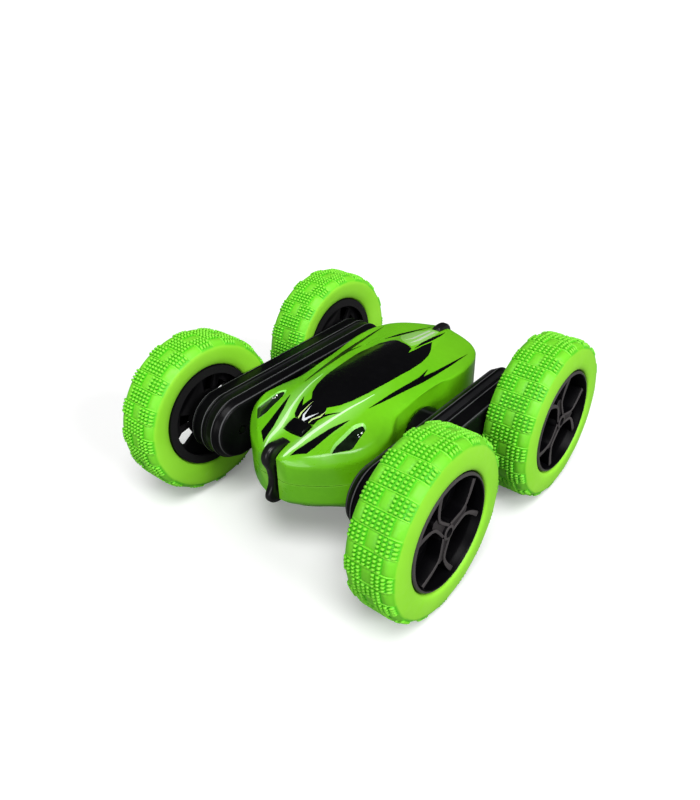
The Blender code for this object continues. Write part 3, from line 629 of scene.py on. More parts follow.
def lamp_pocket(side, sign):
    """Cutter with straight walls, then opening away from an anchor outboard of the lamp."""
    anchor_x, anchor_y = side * 23.0, -39.6
    base = rounded([(side * x, y) for x, y in LAMPS[sign]], 1.1)
    verts, faces = [], []
    for z, grow in ((9.6, 0.0), (12.0, 0.0), (14.6, 0.36)):
        for x, y in base:
            verts.append(((x + (x - anchor_x) * grow) * MM, (y + (y - anchor_y) * grow) * MM,
                          sign * z * MM))
    count = len(base)
    for k in range(2):
        for i in range(count):
            j = (i + 1) % count
            faces.append((k * count + i, k * count + j, (k + 1) * count + j,
                          (k + 1) * count + i))
    faces.append(tuple(range(count)))
    faces.append(tuple(range(2 * count, 3 * count)))
    return lean(new_object("lamp", verts, faces), side, sign)


def shell_with_posts(name, sign):
    shell = shell_solid(name, sign)
    posts = []
    for x, y in POSTS:
        reach = 14.5 if y < 0 else 15.6
        low, high = (0.3, reach) if sign > 0 else (-reach, -0.3)
        outline = circle(2.6 if sign > 0 else 3.4, POST_STEPS, x, y)
        posts.append(prism("post", outline, low, high))
    if sign > 0:
        # The mast reaches down to take the battery door's screw.
        posts.append(prism("mast", circle(2.6, POST_STEPS, 0.0, DOOR_SCREW_Y), -17.3, 18.6))
    boolean(shell, posts, "UNION")
    return shell


def countersunk_hole(x, y):
    """Screw hole up through a lower post, wide below for the screw head."""
    profile = [(0, -30), (2.4, -30), (2.4, -7.0), (SCREW_R, -7.0), (SCREW_R, 1.0), (0, 1.0)]
    hole = revolve("hole", profile, 24, 0.05)
    upright = Matrix.Rotation(math.radians(-90), 4, "Y")
    hole.matrix_world = Matrix.Translation((x * MM, y * MM, 0)) @ upright
    return hole


def cut_shell(shell, sign):
    low, high = (5.0, 30.0) if sign > 0 else (-30.0, -5.0)
    cuts = [
        rod("pivot", 6.4, -32, 32, 48, 0.03),
        prism("slot", rectangle(-2.25, 2.25, -60, -46.0), -30, 30),
        prism("slot", rectangle(-2.25, 2.25, 47.0, 60), -30, 30),
        prism("scoop", rounded(rectangle(-4.6, 4.6, -43.0, -36.6), 0.5, 3), low, high),
    ]
    for side in (1, -1):
        boolean(shell, [lamp_pocket(side, sign)], "DIFFERENCE")
    for x, y in POSTS:
        if sign > 0:
            cuts.append(prism("hole", circle(SCREW_R, HOLE_STEPS, x, y), -1.0, 8.0))
        else:
            cuts.append(countersunk_hole(x, y))
    if sign > 0:
        outline = circle(SCREW_R, HOLE_STEPS, 0.0, DOOR_SCREW_Y)
        cuts.append(prism("hole", outline, -20.0, -7.0))
    else:
        cuts.append(prism("door", rounded(rectangle(*DOOR), 1.2, 3), -30, -8))
        cuts.append(prism("switch", rectangle(-1.5, 1.5, -2.6, 2.6), -30, -15))
    boolean(shell, cuts, "DIFFERENCE")
    shade(shell, 32.0)


def battery_door():
    door = shell_solid("battery_cover", -1)
    x0, x1, y0, y1 = DOOR
    outline = rectangle(x0 + DOOR_GAP, x1 - DOOR_GAP, y0 + DOOR_GAP, y1 - DOOR_GAP)
    boolean(door, [prism("keep", rounded(outline, 1.0, 3), -30, -8)], "INTERSECT")
    hole = prism("hole", circle(SCREW_R, HOLE_STEPS, 0.0, DOOR_SCREW_Y), -30.0, -10.0)
    boolean(door, [hole], "DIFFERENCE")
    shade(door, 32.0)
    return door


def inside(point, outline):
    x, y = point
    within = False
    for i in range(len(outline)):
        x1, y1 = outline[i - 1]
        x2, y2 = outline[i]
        if (y1 > y) != (y2 > y) and x < (x2 - x1) * (y - y1) / (y2 - y1) + x1:
            within = not within
    return within


def mark_pocket_wall_highlight(mesh):
    """Marks the sloped walls of the lamp pockets, which show as a pale border: a painted
    highlight.
    """
    area = [(LAMP_X + (x - LAMP_X) * 1.7, LAMP_Y + (y - LAMP_Y) * 1.45) for x, y in LAMP]
    marks = []
    for face in mesh.polygons:
        centre, normal = face.center / MM, face.normal
        facing = ((LAMP_X - abs(centre.x)) * normal.x * math.copysign(1.0, centre.x)
                  + (LAMP_Y - centre.y) * normal.y)
        sloped = 10.4 < abs(centre.z) < 17.0 and abs(normal.z) < 0.90 and facing > 0
        marks.append(1.0 if sloped and inside((abs(centre.x), centre.y), area) else 0.0)
    mesh.attributes.new("pocket_wall_highlight", "FLOAT", "FACE").data.foreach_set("value", marks)


def mark_ridge_highlight(mesh):
    """Painted highlight: a pale band along the two bonnet ridges, fading to both sides and
    towards the cabin.
    """
    line_y, line_x, width, strength = RIDGE_HIGHLIGHT_BAND.T
    values = []
    for vert in mesh.vertices:
        x, y, z = vert.co / MM
        highlight = 0.0
        if abs(z) > 9.5 and y < 0:
            off = abs(abs(x) - float(np.interp(y, line_y, line_x)))
            off /= float(np.interp(y, line_y, width))
            highlight = float(np.interp(y, line_y, strength)) * math.exp(-off * off)
        values.append(highlight)
    mesh.attributes.new("painted_ridge_highlight", "FLOAT", "POINT").data.foreach_set("value", values)


shells = {}
for sign, label in HALVES:
    shell = shell_with_posts(label + "_body_shell", sign)
    if sign > 0:
        SLOPE = lamp_plane(surface(shell))
    cut_shell(shell, sign)
    shells[label] = shell
shells["door"] = battery_door()

for shell in shells.values():
    mark_ridge_highlight(shell.data)
    mark_pocket_wall_highlight(shell.data)
SKINS = {label: surface(shell) for label, shell in shells.items()}
for label, node in (("upper", "upper_shell"), ("lower", "lower_shell"),
                    ("door", "battery_door")):
    piece(shells[label], "chassis", LIME, node)


# ------------------------------------------------------------------ printed film on the shells, and pale film for a painted highlight along the ridges
# Outlines in plan (x, y); those of the bonnet, flank and ridge are mirrored for the -X side.
BONNET_FLASH = [
    (6.5, -51.0), (7.3, -47.8), (8.4, -43.6), (9.8, -39.4), (11.2, -35.2), (14.3, -28.4),
    (13.7, -32.2), (12.9, -36.2), (12.2, -40.4), (11.6, -44.4), (11.0, -47.6)]
FLANK_FLASH = [
    (15.6, -19.2), (16.0, -12.9), (16.5, -4.0), (17.1, 3.4), (17.5, 9.6), (16.6, 16.9),
    (18.3, 11.4), (19.4, 19.4), (20.1, 27.0), (21.4, 38.6), (21.3, 27.3), (20.9, 17.5),
    (20.2, 8.7), (19.0, 0.7), (17.7, -8.3), (16.7, -14.0)]
CANOPY = [
    # +X edge, nose to tail, and the notch in the tail end
    (4.0, -28.8), (5.4, -27.4), (7.2, -25.2), (9.1, -20.6), (10.7, -12.9), (11.8, -1.0),
    (12.4, 10.4), (12.0, 19.3), (10.8, 25.9), (8.8, 30.6), (5.7, 36.0), (5.2, 30.0),
    (5.2, 25.6), (5.0, 19.6), (3.7, 24.0), (2.2, 24.9),
    # -X edge, tail to nose
    (-4.2, 26.9), (-7.1, 27.7), (-9.2, 26.6), (-11.2, 22.4), (-12.2, 10.6), (-11.2, -1.0),
    (-10.2, -12.6), (-8.6, -19.8), (-6.6, -24.6), (-4.2, -27.7),
    # spikes at the nose end
    (-5.2, -31.7), (-8.0, -27.6), (-6.7, -32.3), (-5.5, -35.6), (-4.5, -36.5),
    (4.3, -36.5), (4.6, -34.4), (6.3, -31.8), (10.0, -27.4), (5.4, -31.5)]
REAR_FLASH_LEFT = [
    (-12.4, 27.4), (-10.4, 34.6), (-7.6, 41.0), (-4.2, 47.6), (-4.0, 49.6), (-5.0, 44.6),
    (-7.2, 38.6), (-9.4, 33.0)]
REAR_FLASH_RIGHT = [
    (4.4, 25.2), (3.4, 31.6), (3.5, 38.6), (4.2, 48.4), (4.9, 43.4), (5.0, 37.4), (4.6, 31.0)]
OLIVE_LEFT = [(-3.3, -36.4), (-3.7, -34.3), (-2.6, -28.7), (-3.1, -34.3), (-2.8, -36.4)]
PALE_STREAK = [
    (-1.2, -36.4), (-2.3, -34.8), (-1.9, -30.6), (-1.6, -34.5), (-0.8, -35.4), (0.2, -34.3),
    (2.9, -31.9), (0.6, -35.0), (-0.3, -36.4)]
OLIVE_RIGHT = [
    (1.7, -36.4), (2.0, -34.8), (4.2, -32.6), (5.0, -30.0), (4.7, -33.0), (2.5, -35.0),
    (2.1, -36.4)]
MIST = [
    (-8.6, 33.6), (-6.4, 30.4), (-3.0, 27.6), (2.2, 25.8), (3.2, 30.0), (3.2, 38.6),
    (3.0, 42.2), (2.2, 46.4), (-2.2, 46.4), (-3.0, 43.2), (-5.0, 41.2), (-7.0, 37.6)]
SILVER_A = [(-3.4, 29.4), (-2.2, 32.4), (-1.7, 44.4), (-0.7, 44.6), (-1.2, 32.6)]
SILVER_B = [(0.3, 27.6), (0.5, 33.0), (0.3, 45.0), (1.4, 45.0), (1.6, 33.0)]
# Painted highlight along the ridge crest, laid as a pale film: y, x, half width.
RIDGE_HIGHLIGHT_TRACK = [(-52.4, 4.5, 0.20), (-51.5, 4.8, 0.38), (-48.0, 5.6, 0.62), (-43.0, 6.1, 0.78),
         (-38.6, 7.1, 0.74), (-34.5, 8.4, 0.56), (-28.5, 9.9, 0.38), (-19.0, 11.8, 0.22),
         (-12.0, 12.6, 0.06)]
RIDGE_HIGHLIGHT_OUTLINE = [(x + half, y) for y, x, half in RIDGE_HIGHLIGHT_TRACK] \
    + [(x - half, y) for y, x, half in reversed(RIDGE_HIGHLIGHT_TRACK)]
# The lower canopy print stops before the door's front edge and goes on behind it.
CANOPY_STOP_Y, CANOPY_RESUME_Y = 22.6, 23.7
SWITCH_WINDOW = rectangle(-1.8, 1.8, -2.9, 2.9)
FINE_STEP = 0.6
# Name, outline, ink of the streaks on both halves.
STREAKS = [("olive_streak_left", OLIVE_LEFT, OLIVE_PRINT),
           ("pale_streak", PALE_STREAK, WHITE_PRINT),
           ("olive_streak_right", OLIVE_RIGHT, OLIVE_PRINT)]
# Name, outline, ink, lift, mesh step of the prints on the upper half's tail.
REAR_PRINTS = [("flash_left", REAR_FLASH_LEFT, BLACK_PRINT, 0.16, 1.1),
               ("flash_right", REAR_FLASH_RIGHT, BLACK_PRINT, 0.16, 1.1),
               ("mist", MIST, MIST_PRINT, 0.09, 1.1),
               ("silver_streak_a", SILVER_A, SILVER_PRINT, 0.14, FINE_STEP),
               ("silver_streak_b", SILVER_B, SILVER_PRINT, 0.14, FINE_STEP)]


def film(name, outline, shell, material, holes=(), lift=0.13, step=1.1):
    """The outline laid on a shell's surface as a thin closed sheet."""
    sign = 1 if shell == "upper" else -1
    verts, edges = [], []
    for loop in (outline, *holes):
        points = []
        for i in range(len(loop)):
            start, end = loop[i - 1], loop[i]
            count = max(1, int(math.dist(start, end) / (step * 0.7)))
            for k in range(count):
                points.append((start[0] + (end[0] - start[0]) * k / count,
                               start[1] + (end[1] - start[1]) * k / count))
        first = len(verts)
        verts += points
        edges += [(first + i, first + (i + 1) % len(points)) for i in range(len(points))]

    def covered(point):
        return inside(point, outline) and not any(inside(point, hole) for hole in holes)

    # A triangular grid fills the outline.
    all_x, all_y = zip(*outline)
    y, odd = min(all_y) + step / 2, 0
    while y < max(all_y):
        x = min(all_x) + step / 2 + odd * step / 2
        while x < max(all_x):
            if covered((x, y)) and min(math.dist((x, y), vert) for vert in verts) > step * 0.45:
                verts.append((x, y))
            x += step
        y += step * 0.87
        odd = 1 - odd
    spots, _, triangles = delaunay_2d_cdt([Vector(v) for v in verts], edges, [], 0, 1e-5)[:3]
    kept = [tuple(t) for t in triangles
            if covered((sum(spots[i][0] for i in t) / 3, sum(spots[i][1] for i in t) / 3))]

    def skin_height(spot):
        above = Vector((spot[0] * MM, spot[1] * MM, sign * 0.04))
        hit = SKINS[shell].ray_cast(above, Vector((0, 0, -sign)))[0]
        return None if hit is None or sign * hit.z < 0.005 else sign * hit.z / MM

    height = {i: skin_height(spots[i]) for i in {i for t in kept for i in t}}
    kept = [t for t in kept if all(height[i] is not None for i in t)]
    used = sorted({i for t in kept for i in t})
    index = {v: k for k, v in enumerate(used)}
    count = len(used)
    top, low = ([(spots[i][0] * MM, spots[i][1] * MM, sign * (height[i] + rise) * MM)
                 for i in used] for rise in (lift, -0.12))
    faces = [tuple(index[i] for i in t) for t in kept]
    sides = dict.fromkeys(pair for face in faces for pair in zip(face, face[1:] + face[:1]))
    faces += [tuple(count + i for i in reversed(face)) for face in faces] \
        + [(b, a, count + a, count + b) for a, b in sides if (b, a) not in sides]
    piece(new_object(name, top + low, faces, 60.0), "chassis", material)


def cut_at(outline, line_y, behind):
    """The part of an outline behind or before the line y = line_y."""
    out = []
    for i in range(len(outline)):
        start, end = outline[i - 1], outline[i]
        keep_start, keep_end = ((p[1] >= line_y) if behind else (p[1] <= line_y)
                                for p in (start, end))
        if keep_start != keep_end:
            t = (line_y - start[1]) / (end[1] - start[1])
            out.append((start[0] + (end[0] - start[0]) * t, line_y))
        if keep_end:
            out.append(end)
    return out


for sign, label in HALVES:
    for side, side_name in SIDES:
        flash, flank, ridge = (
            outline if side > 0 else [(-x, y) for x, y in reversed(outline)]
            for outline in (BONNET_FLASH, FLANK_FLASH, RIDGE_HIGHLIGHT_OUTLINE))
        film(f"{label}_{side_name}_bonnet_flash", flash, label, BLACK_PRINT)
        film(f"{label}_{side_name}_flank_flash", flank, label, BLACK_PRINT)
        # A pale film along each ridge's crest stands for a painted highlight.
        film(f"{label}_{side_name}_ridge_highlight_film", ridge, label, RIDGE_HIGHLIGHT_INK, lift=0.10,
             step=FINE_STEP)
    if sign > 0:
        film("upper_canopy_print", CANOPY, "upper", BLACK_PRINT)
    else:
        film("lower_canopy_print", cut_at(CANOPY, CANOPY_STOP_Y, behind=False), "lower",
             BLACK_PRINT, holes=(SWITCH_WINDOW,))
        film("door_canopy_print", cut_at(CANOPY, CANOPY_RESUME_Y, behind=True), "door",
             BLACK_PRINT, holes=(circle(2.4, 20, 0.0, DOOR_SCREW_Y),))
    for name, outline, material in STREAKS:
        film(f"{label}_{name}", outline, label, material, lift=0.20, step=FINE_STEP)
    if sign > 0:
        for name, outline, material, lift, step in REAR_PRINTS:
            film(f"upper_rear_{name}", outline, label, material, lift=lift, step=step)


# ------------------------------------------------------------------ wheels
# World angle of local +Y, from +Y towards +Z: one for all treads, one for each rim's spokes.
TREAD_PHASE = 9.5
SPOKE_PHASE = {(1, -1): 133.0, (1, 1): 110.0, (-1, -1): 56.5, (-1, 1): 41.0}  # side, end


def wheel_matrix(side, end, phase):
    """Local wheel (axle along X, outer face at +X) to its place."""
    place = Matrix.Translation((0, end * WHEEL_Y * MM, 0))
    if side > 0:
        return place @ Matrix.Rotation(math.radians(phase), 4, "X")
    turn = Matrix.Rotation(math.radians(180 - phase), 4, "X")
    return place @ Matrix.Rotation(math.pi, 4, "Z") @ turn


def fit_wheels(mesh, label, phases, material, node):
    for side, side_name in SIDES:
        for end, end_name in ENDS:
            corner = f"{side_name}_{end_name}_"
            body = link_object(corner + label, mesh.copy())
            body.data.transform(wheel_matrix(side, end, phases[side, end]))
            piece(body, corner + "wheel", material, corner + node)


# Tyre: each tread row is four cells round, then one narrow gap; ten columns across.
TREAD_ROWS, ROW_CELLS, COLUMNS = 32, 4, 10
TREAD_X = [46.27 + 1.811 * i for i in range(COLUMNS + 1)]
ROW_DEG, GAP_DEG = 360 / TREAD_ROWS, 0.9
CELL_DEG = (ROW_DEG - GAP_DEG) / ROW_CELLS
BASE_R, NUB_H = 31.3, 0.98
DEG_PER_MM = 1.0 / (BASE_R * math.pi / 180)
TREAD_R = [29.9, 31.0] + [BASE_R] * 7 + [31.0, 29.9]
# Side walls (r, x), from the tread's outer edge round the bead back to its inner edge.
TYRE_WALLS = [
    (29.1, 64.62), (28.2, 64.78), (26.8, 64.98), (25.2, 65.14), (23.8, 65.2), (22.6, 65.12),
    (21.8, 64.85), (21.3, 64.4), (21.15, 63.6),
    (21.15, 49.2), (21.25, 48.4), (21.8, 47.7), (22.7, 47.1), (23.9, 46.6), (25.4, 46.25),
    (27.0, 46.02), (28.2, 45.92), (29.1, 45.98)]
NUB_OUTLINE = [(-0.5, -1), (0.5, -1), (1, -0.5), (1, 0.5), (0.5, 1), (-0.5, 1), (-1, 0.5),
               (-1, -0.5)]
# Nub rings from base to top: relative size, relative height, strength of the painted highlight on
# the tips.
NUB_RINGS = [(1.0, 0.0, 0.0), (0.95, 0.50, 0.30), (0.82, 0.85, 0.75), (0.50, 1.0, 1.0)]
# Rings of the low pads and of the gap lines: inset, height, strength of the painted highlight.
PAD_RINGS = [(0.03, 0.0, 0.0), (0.40, 0.22, 0.10), (0.90, 0.34, 0.22)]
LINE_RINGS = [(0.03, 0.14, 0.5), (0.12, 0.36, 0.9)]
# Nub columns and pad spans of the even and the odd rows.
ROW_PATTERNS = [((2, 3, 4, 5, 6, 7), ((0, 2), (8, 10))),
                ((0, 1, 2, 3, 6, 7, 8, 9), ((4, 6),))]


def tyre_mesh():
    """Rubber tyre about X: smooth shouldered walls and a tread of nubs, one closed skin."""
    angles = []
    for row in range(TREAD_ROWS):
        start = -ROW_DEG / 2 + ROW_DEG * row + GAP_DEG / 2
        angles += [start + CELL_DEG * k for k in range(ROW_CELLS + 1)]
    profile = list(zip(TREAD_R, TREAD_X)) + TYRE_WALLS
    verts, faces, tread, tip_highlight, gap_shade = [], [], [], [], []

    def add(radius, x, degrees, on_tread=1.0, tip_highlight_value=0.0, gap_shade_value=0.0):
        angle = math.radians(degrees)
        verts.append((x * MM, radius * math.cos(angle) * MM, radius * math.sin(angle) * MM))
        tread.append(on_tread)
        tip_highlight.append(tip_highlight_value)
        gap_shade.append(gap_shade_value)
        return len(verts) - 1

    def grid(i, k):
        return (i % len(angles)) * len(profile) + (k % len(profile))

    def tread_radius(x):
        return float(np.interp(x, TREAD_X, TREAD_R))

    def raise_patch(i0, i1, j0, j1, rings, span):
        """Raises cells i0..i1 round by j0..j1 across; flattens at the tread's edges."""
        start, end = angles[i0], angles[i0] + span
        x0, x1 = TREAD_X[j0], TREAD_X[j1]
        soft = j0 == 0 or j1 == COLUMNS

        def lifted(i, j, inset, height, value):
            t = (i - i0) / (i1 - i0)
            angle = start + inset * DEG_PER_MM + (end - start - 2 * inset * DEG_PER_MM) * t
            x = x0 + inset + (x1 - x0 - inset - inset) * ((j - j0) / (j1 - j0))
            if soft:
                t = min(1.0, max(0.0, (min(x - TREAD_X[0], TREAD_X[-1] - x) - 0.1) / 1.6))
                height = height * t * t * (3 - 2 * t)
            return add(tread_radius(x) + height, x, angle, tip_highlight_value=value)

        loop = [(i, j0) for i in range(i0, i1)] + [(i1, j) for j in range(j0, j1)] \
            + [(i, j1) for i in range(i1, i0, -1)] + [(i0, j) for j in range(j1, j0, -1)]
        previous = [grid(i, j) for i, j in loop]
        for ring in rings:
            top = {(i, j): lifted(i, j, *ring) for i, j in loop}
            current = list(top.values())
            for k in range(len(loop)):
                ahead = (k + 1) % len(loop)
                faces.append((previous[k], previous[ahead], current[ahead], current[k]))
            previous = current
        for i in range(i0 + 1, i1):
            for j in range(j0 + 1, j1):
                top[i, j] = lifted(i, j, *rings[-1])
        for i in range(i0, i1):
            for j in range(j0, j1):
                faces.append((top[i, j], top[i + 1, j], top[i + 1, j + 1], top[i, j + 1]))

    def raise_nub(i, j):
        """One rounded nub in the cell i, j; the end columns reach over the shoulder."""
        low = TREAD_X[j] + (0.08 if j == 0 else 0.30)
        high = TREAD_X[j + 1] - (0.08 if j == COLUMNS - 1 else 0.30)
        middle_x, half_x = (low + high) / 2, (high - low) / 2
        middle_deg, half_deg = angles[i] + CELL_DEG / 2, CELL_DEG / 2 - 0.23 * DEG_PER_MM
        corners = [grid(i, j), grid(i + 1, j), grid(i + 1, j + 1), grid(i, j + 1)]
        # Painted shade on the corners of the nub's cell; the ring at the nub's foot gets more of
        # it below.
        for corner in corners:
            gap_shade[corner] = 0.6
        previous = None
        for size, height, value in NUB_RINGS:
            ring = []
            for around, across in NUB_OUTLINE:
                x = middle_x + across * half_x * size
                ring.append(add(tread_radius(x) + height * NUB_H, x,
                                middle_deg + around * half_deg * size, tip_highlight_value=value,
                                gap_shade_value=0.9 if height == 0 else 0.0))
            if previous is None:
                for k in range(4):
                    corner = corners[k]
                    faces.append((corner, corners[(k + 1) % 4], ring[2 * k + 1], ring[2 * k]))
                    faces.append((corner, ring[2 * k], ring[2 * k - 1]))
            else:
                for k in range(8):
                    ahead = (k + 1) % 8
                    faces.append((previous[k], previous[ahead], ring[ahead], ring[k]))
            previous = ring
        faces.append(tuple(previous))

    for angle in angles:
        for k, (radius, x) in enumerate(profile):
            add(radius, x, angle, on_tread=1.0 if k <= COLUMNS else 0.0)
    for row in range(TREAD_ROWS):
        first = row * (ROW_CELLS + 1)
        last = first + ROW_CELLS
        nub_columns, pads = ROW_PATTERNS[row % 2]
        for i in range(first, last):
            for j in nub_columns:
                raise_nub(i, j)
        for j0, j1 in pads:
            raise_patch(first, last, j0, j1, PAD_RINGS, ROW_CELLS * CELL_DEG)
        raise_patch(last, last + 1, 0, COLUMNS, LINE_RINGS, GAP_DEG)
    for i in range(len(angles)):
        for k in range(COLUMNS, len(profile)):
            faces.append((grid(i, k), grid(i + 1, k), grid(i + 1, k + 1), grid(i, k + 1)))
    mesh = bpy.data.meshes.new("tyre")
    mesh.from_pydata(verts, [], faces)
    tidy(mesh)
    for name, values in (("tread", tread), ("tip_highlight", tip_highlight), ("gap_shade", gap_shade)):
        mesh.attributes.new(name, "FLOAT", "POINT").data.foreach_set("value", values)
    mesh.shade_smooth()
    mesh.set_sharp_from_angle(angle=math.radians(62))
    return mesh


fit_wheels(tyre_mesh(), "nubbed_tyre", dict.fromkeys(SPOKE_PHASE, TREAD_PHASE), TYRE,
           "tyre")


# Rim barrel (r, x), one closed band.
BARREL = [
    (20.8, 47.6), (20.8, 63.9), (20.7, 64.3), (20.35, 64.72), (20.0, 64.9), (19.75, 64.9),
    (19.55, 64.7), (19.45, 64.2), (19.2, 62.9), (18.9, 62.3), (18.75, 61.6), (18.5, 50.2),
    (17.6, 49.0), (17.6, 47.6)]
HUB = [(0, 50.0), (3.9, 50.0), (3.9, 62.6), (3.6, 63.0), (2.9, 63.1), (2.75, 63.9),
       (2.45, 64.1), (0, 64.1)]
# Spoke outlines (r, degrees from the spoke's middle).
RIB = [(2.7, 50), (5.5, 18.0), (8.8, 10.0), (11.2, 12.0), (14.5, 19.5), (19.2, 28.3)]
BAR = [(3.0, -34), (5.6, -17.0), (8.9, -9.6), (11.0, -10.6), (11.9, 0), (11.0, 10.6),
       (8.9, 9.6), (5.6, 17.0), (3.0, 34)]
WEB = [(2.2, -60), (5.0, -30), (8.6, -30), (11.3, -36), (14.3, -38.5), (18.95, -39),
       (18.95, -28), (18.95, -19), (18.95, -9.5), (18.95, 0), (18.95, 9.5), (18.95, 19),
       (18.95, 28), (18.95, 36.5), (14.3, 35), (11.3, 33), (8.6, 28), (5.0, 30), (2.2, 60)]
# Slots in the back plate: first and last angle, inner and outer radius.
SLOTS = [(-3.0, 18.0, 9.3, 14.4), (-36.5, -13.5, 10.0, 16.4)]


def polar(radius, degrees):
    angle = math.radians(degrees)
    return (radius * math.cos(angle), radius * math.sin(angle))


def strip(points, widths):
    """Outline of a band along points with the given half widths."""
    left, right = [], []
    for i, point in enumerate(points):
        before = Vector(points[max(0, i - 1)])
        after = Vector(points[min(len(points) - 1, i + 1)])
        way = (after - before).normalized()
        offset = Vector((-way.y, way.x)) * widths[i]
        left.append(tuple(Vector(point) + offset))
        right.append(tuple(Vector(point) - offset))
    return left + right[::-1]


def rim_body():
    """Deep dished rim: three forked spokes of twin ribs over a set-back web, slotted plate.

    Tiny height differences between the tools keep their faces from coinciding.
    """
    barrel = revolve("rim", BARREL, 96, 0.013, band=True)
    tools, slots = [], []
    for k in range(3):
        turn = 120.0 * k
        for side in (1, -1):
            line = smooth_path([polar(r, turn + side * degrees) for r, degrees in RIB], 5)
            widths = [0.55 + 0.04 * max(0, i - 14) for i in range(len(line))]
            tools.append(prism("rib", strip(line, widths), 58.0, 63.75 - 0.02 * k - 0.013 * side,
                               bevel=0.24, segments=2, along_x=True))
        bar, web = ([polar(r, turn + degrees) for r, degrees in shape] for shape in (BAR, WEB))
        tools.append(prism("bar", bar, 58.1 + 0.011 * k, 63.1 + 0.012 * k, along_x=True))
        tools.append(prism("web", web, 55.9 + 0.01 * k, 58.4 + 0.017 * k, along_x=True))
        for low, high, inner_r, outer_r in SLOTS:
            sweep = [low + (high - low) * i / 6 for i in range(7)]
            slot = [polar(inner_r, turn + degrees) for degrees in sweep] \
                + [polar(outer_r, turn + degrees) for degrees in reversed(sweep)]
            slots.append(rounded(slot, ([1.0] + [0] * 5 + [1.0]) * 2))
    tools.append(prism("dish", circle(19.0, 64), 50.3, 51.5, holes=slots, along_x=True))
    tools.append(revolve("hub", HUB, 40, 0.02))
    for tool in tools:
        boolean(barrel, [tool], "UNION")
    boolean(barrel, [rod("bore", 1.75, 45, 65, 32, 0.05)], "DIFFERENCE")
    shade(barrel, 38.0)
    paint = []
    for face in barrel.data.polygons:
        points = [barrel.data.vertices[i].co / MM for i in face.vertices]
        low = min(point.x for point in points)
        radius = sum(math.hypot(point.y, point.z) for point in points) / len(points)
        rib_top = low > 63.3 and radius < 19.0
        lip = low > 64.1 and radius > 19.85
        bar_top = low > 62.9 and 3.6 < radius < 12.0
        paint.append(1.0 if rib_top or lip else 0.55 if bar_top else 0.0)
    barrel.data.attributes.new("paint", "FLOAT", "FACE").data.foreach_set("value", paint)
    return barrel


rim = rim_body()
fit_wheels(rim.data, "dished_rim", SPOKE_PHASE, GUNMETAL, "rim")
bpy.data.objects.remove(rim)


# ------------------------------------------------------------------ swing arms
ARM_STEPS = 40


def rib_bump(x, radius):
    """Small rounded rib standing on a casing's wall."""
    height, half = 0.42, 0.5
    return [(x - half, radius), (x - half * 0.55, radius + height * 0.8), (x, radius + height),
            (x + half * 0.55, radius + height * 0.8), (x + half, radius)]


# Casing walls (x, r), r being the distance from the line between the wheel axles.
INNER_WALL = [
    (30.3, 10.35), (30.42, 10.7), (30.75, 11.05), (31.1, 11.1), (31.5, 11.3), (32.3, 11.9),
    (33.0, 12.3), *rib_bump(34.05, 12.42), (35.4, 12.5), (37.3, 12.5), (37.45, 12.35),
    (37.45, 11.3), (31.7, 10.4)]
OUTER_WALL = [
    (43.9, 11.3), (37.75, 11.3), (37.75, 12.35), (37.9, 12.5), (38.5, 12.5),
    *rib_bump(39.4, 12.5), (40.6, 12.5), (43.6, 12.42), (44.3, 12.3), (44.65, 12.5),
    (44.95, 12.5), (45.15, 12.3), (45.3, 11.8)]
# Spigot on the arm's inboard face and boss over each axle (r, x).
SPIGOT = [
    (0, 33.4), (4.4, 33.4), (4.4, 31.0), (10.7, 31.0), (11.0, 30.7), (11.0, 25.5),
    (10.6, 24.9), (9.8, 24.2), (6.0, 24.2), (6.0, 21.3), (7.2, 21.3), (7.4, 21.1),
    (7.4, 20.0), (7.2, 19.8), (0, 19.8)]
BOSS = [(0, 44.6), (4.2, 44.6), (4.2, 45.55), (4.0, 45.78), (0, 45.78)]
ARM_BORES = [(WHEEL_Y, 1.9), (20.0, 1.5)]  # y on both ends, radius
# Painted highlights, grey lines round the casings: x, strength, least radius.
ARM_HIGHLIGHT_LINES = [(31.1, 0.85, 10.9), (34.05, 1.0, 12.7), (39.4, 1.0, 12.8), (44.95, 0.9, 12.4)]


def stadium(radius):
    points = []
    for y, start in ((WHEEL_Y, -90.0), (-WHEEL_Y, 90.0)):
        for i in range(ARM_STEPS + 1):
            angle = math.radians(start + 180.0 * i / ARM_STEPS)
            points.append((y + radius * math.cos(angle), radius * math.sin(angle)))
    return points


def sweep_tray(name, profile):
    """A profile of (x, r) carried round the arm's outline; flat floors close its two ends."""
    verts, faces, rings = [], [], []
    for x, radius in profile:
        points = stadium(radius)
        rings.append(list(range(len(verts), len(verts) + len(points))))
        verts += [(x * MM, y * MM, z * MM) for y, z in points]
    for ring, ahead in zip(rings, rings[1:]):
        for i in range(len(ring)):
            j = (i + 1) % len(ring)
            faces.append((ring[i], ring[j], ahead[j], ahead[i]))
    faces.append(tuple(rings[0]))
    faces.append(tuple(rings[-1]))
    return new_object(name, verts, faces, 30.0)


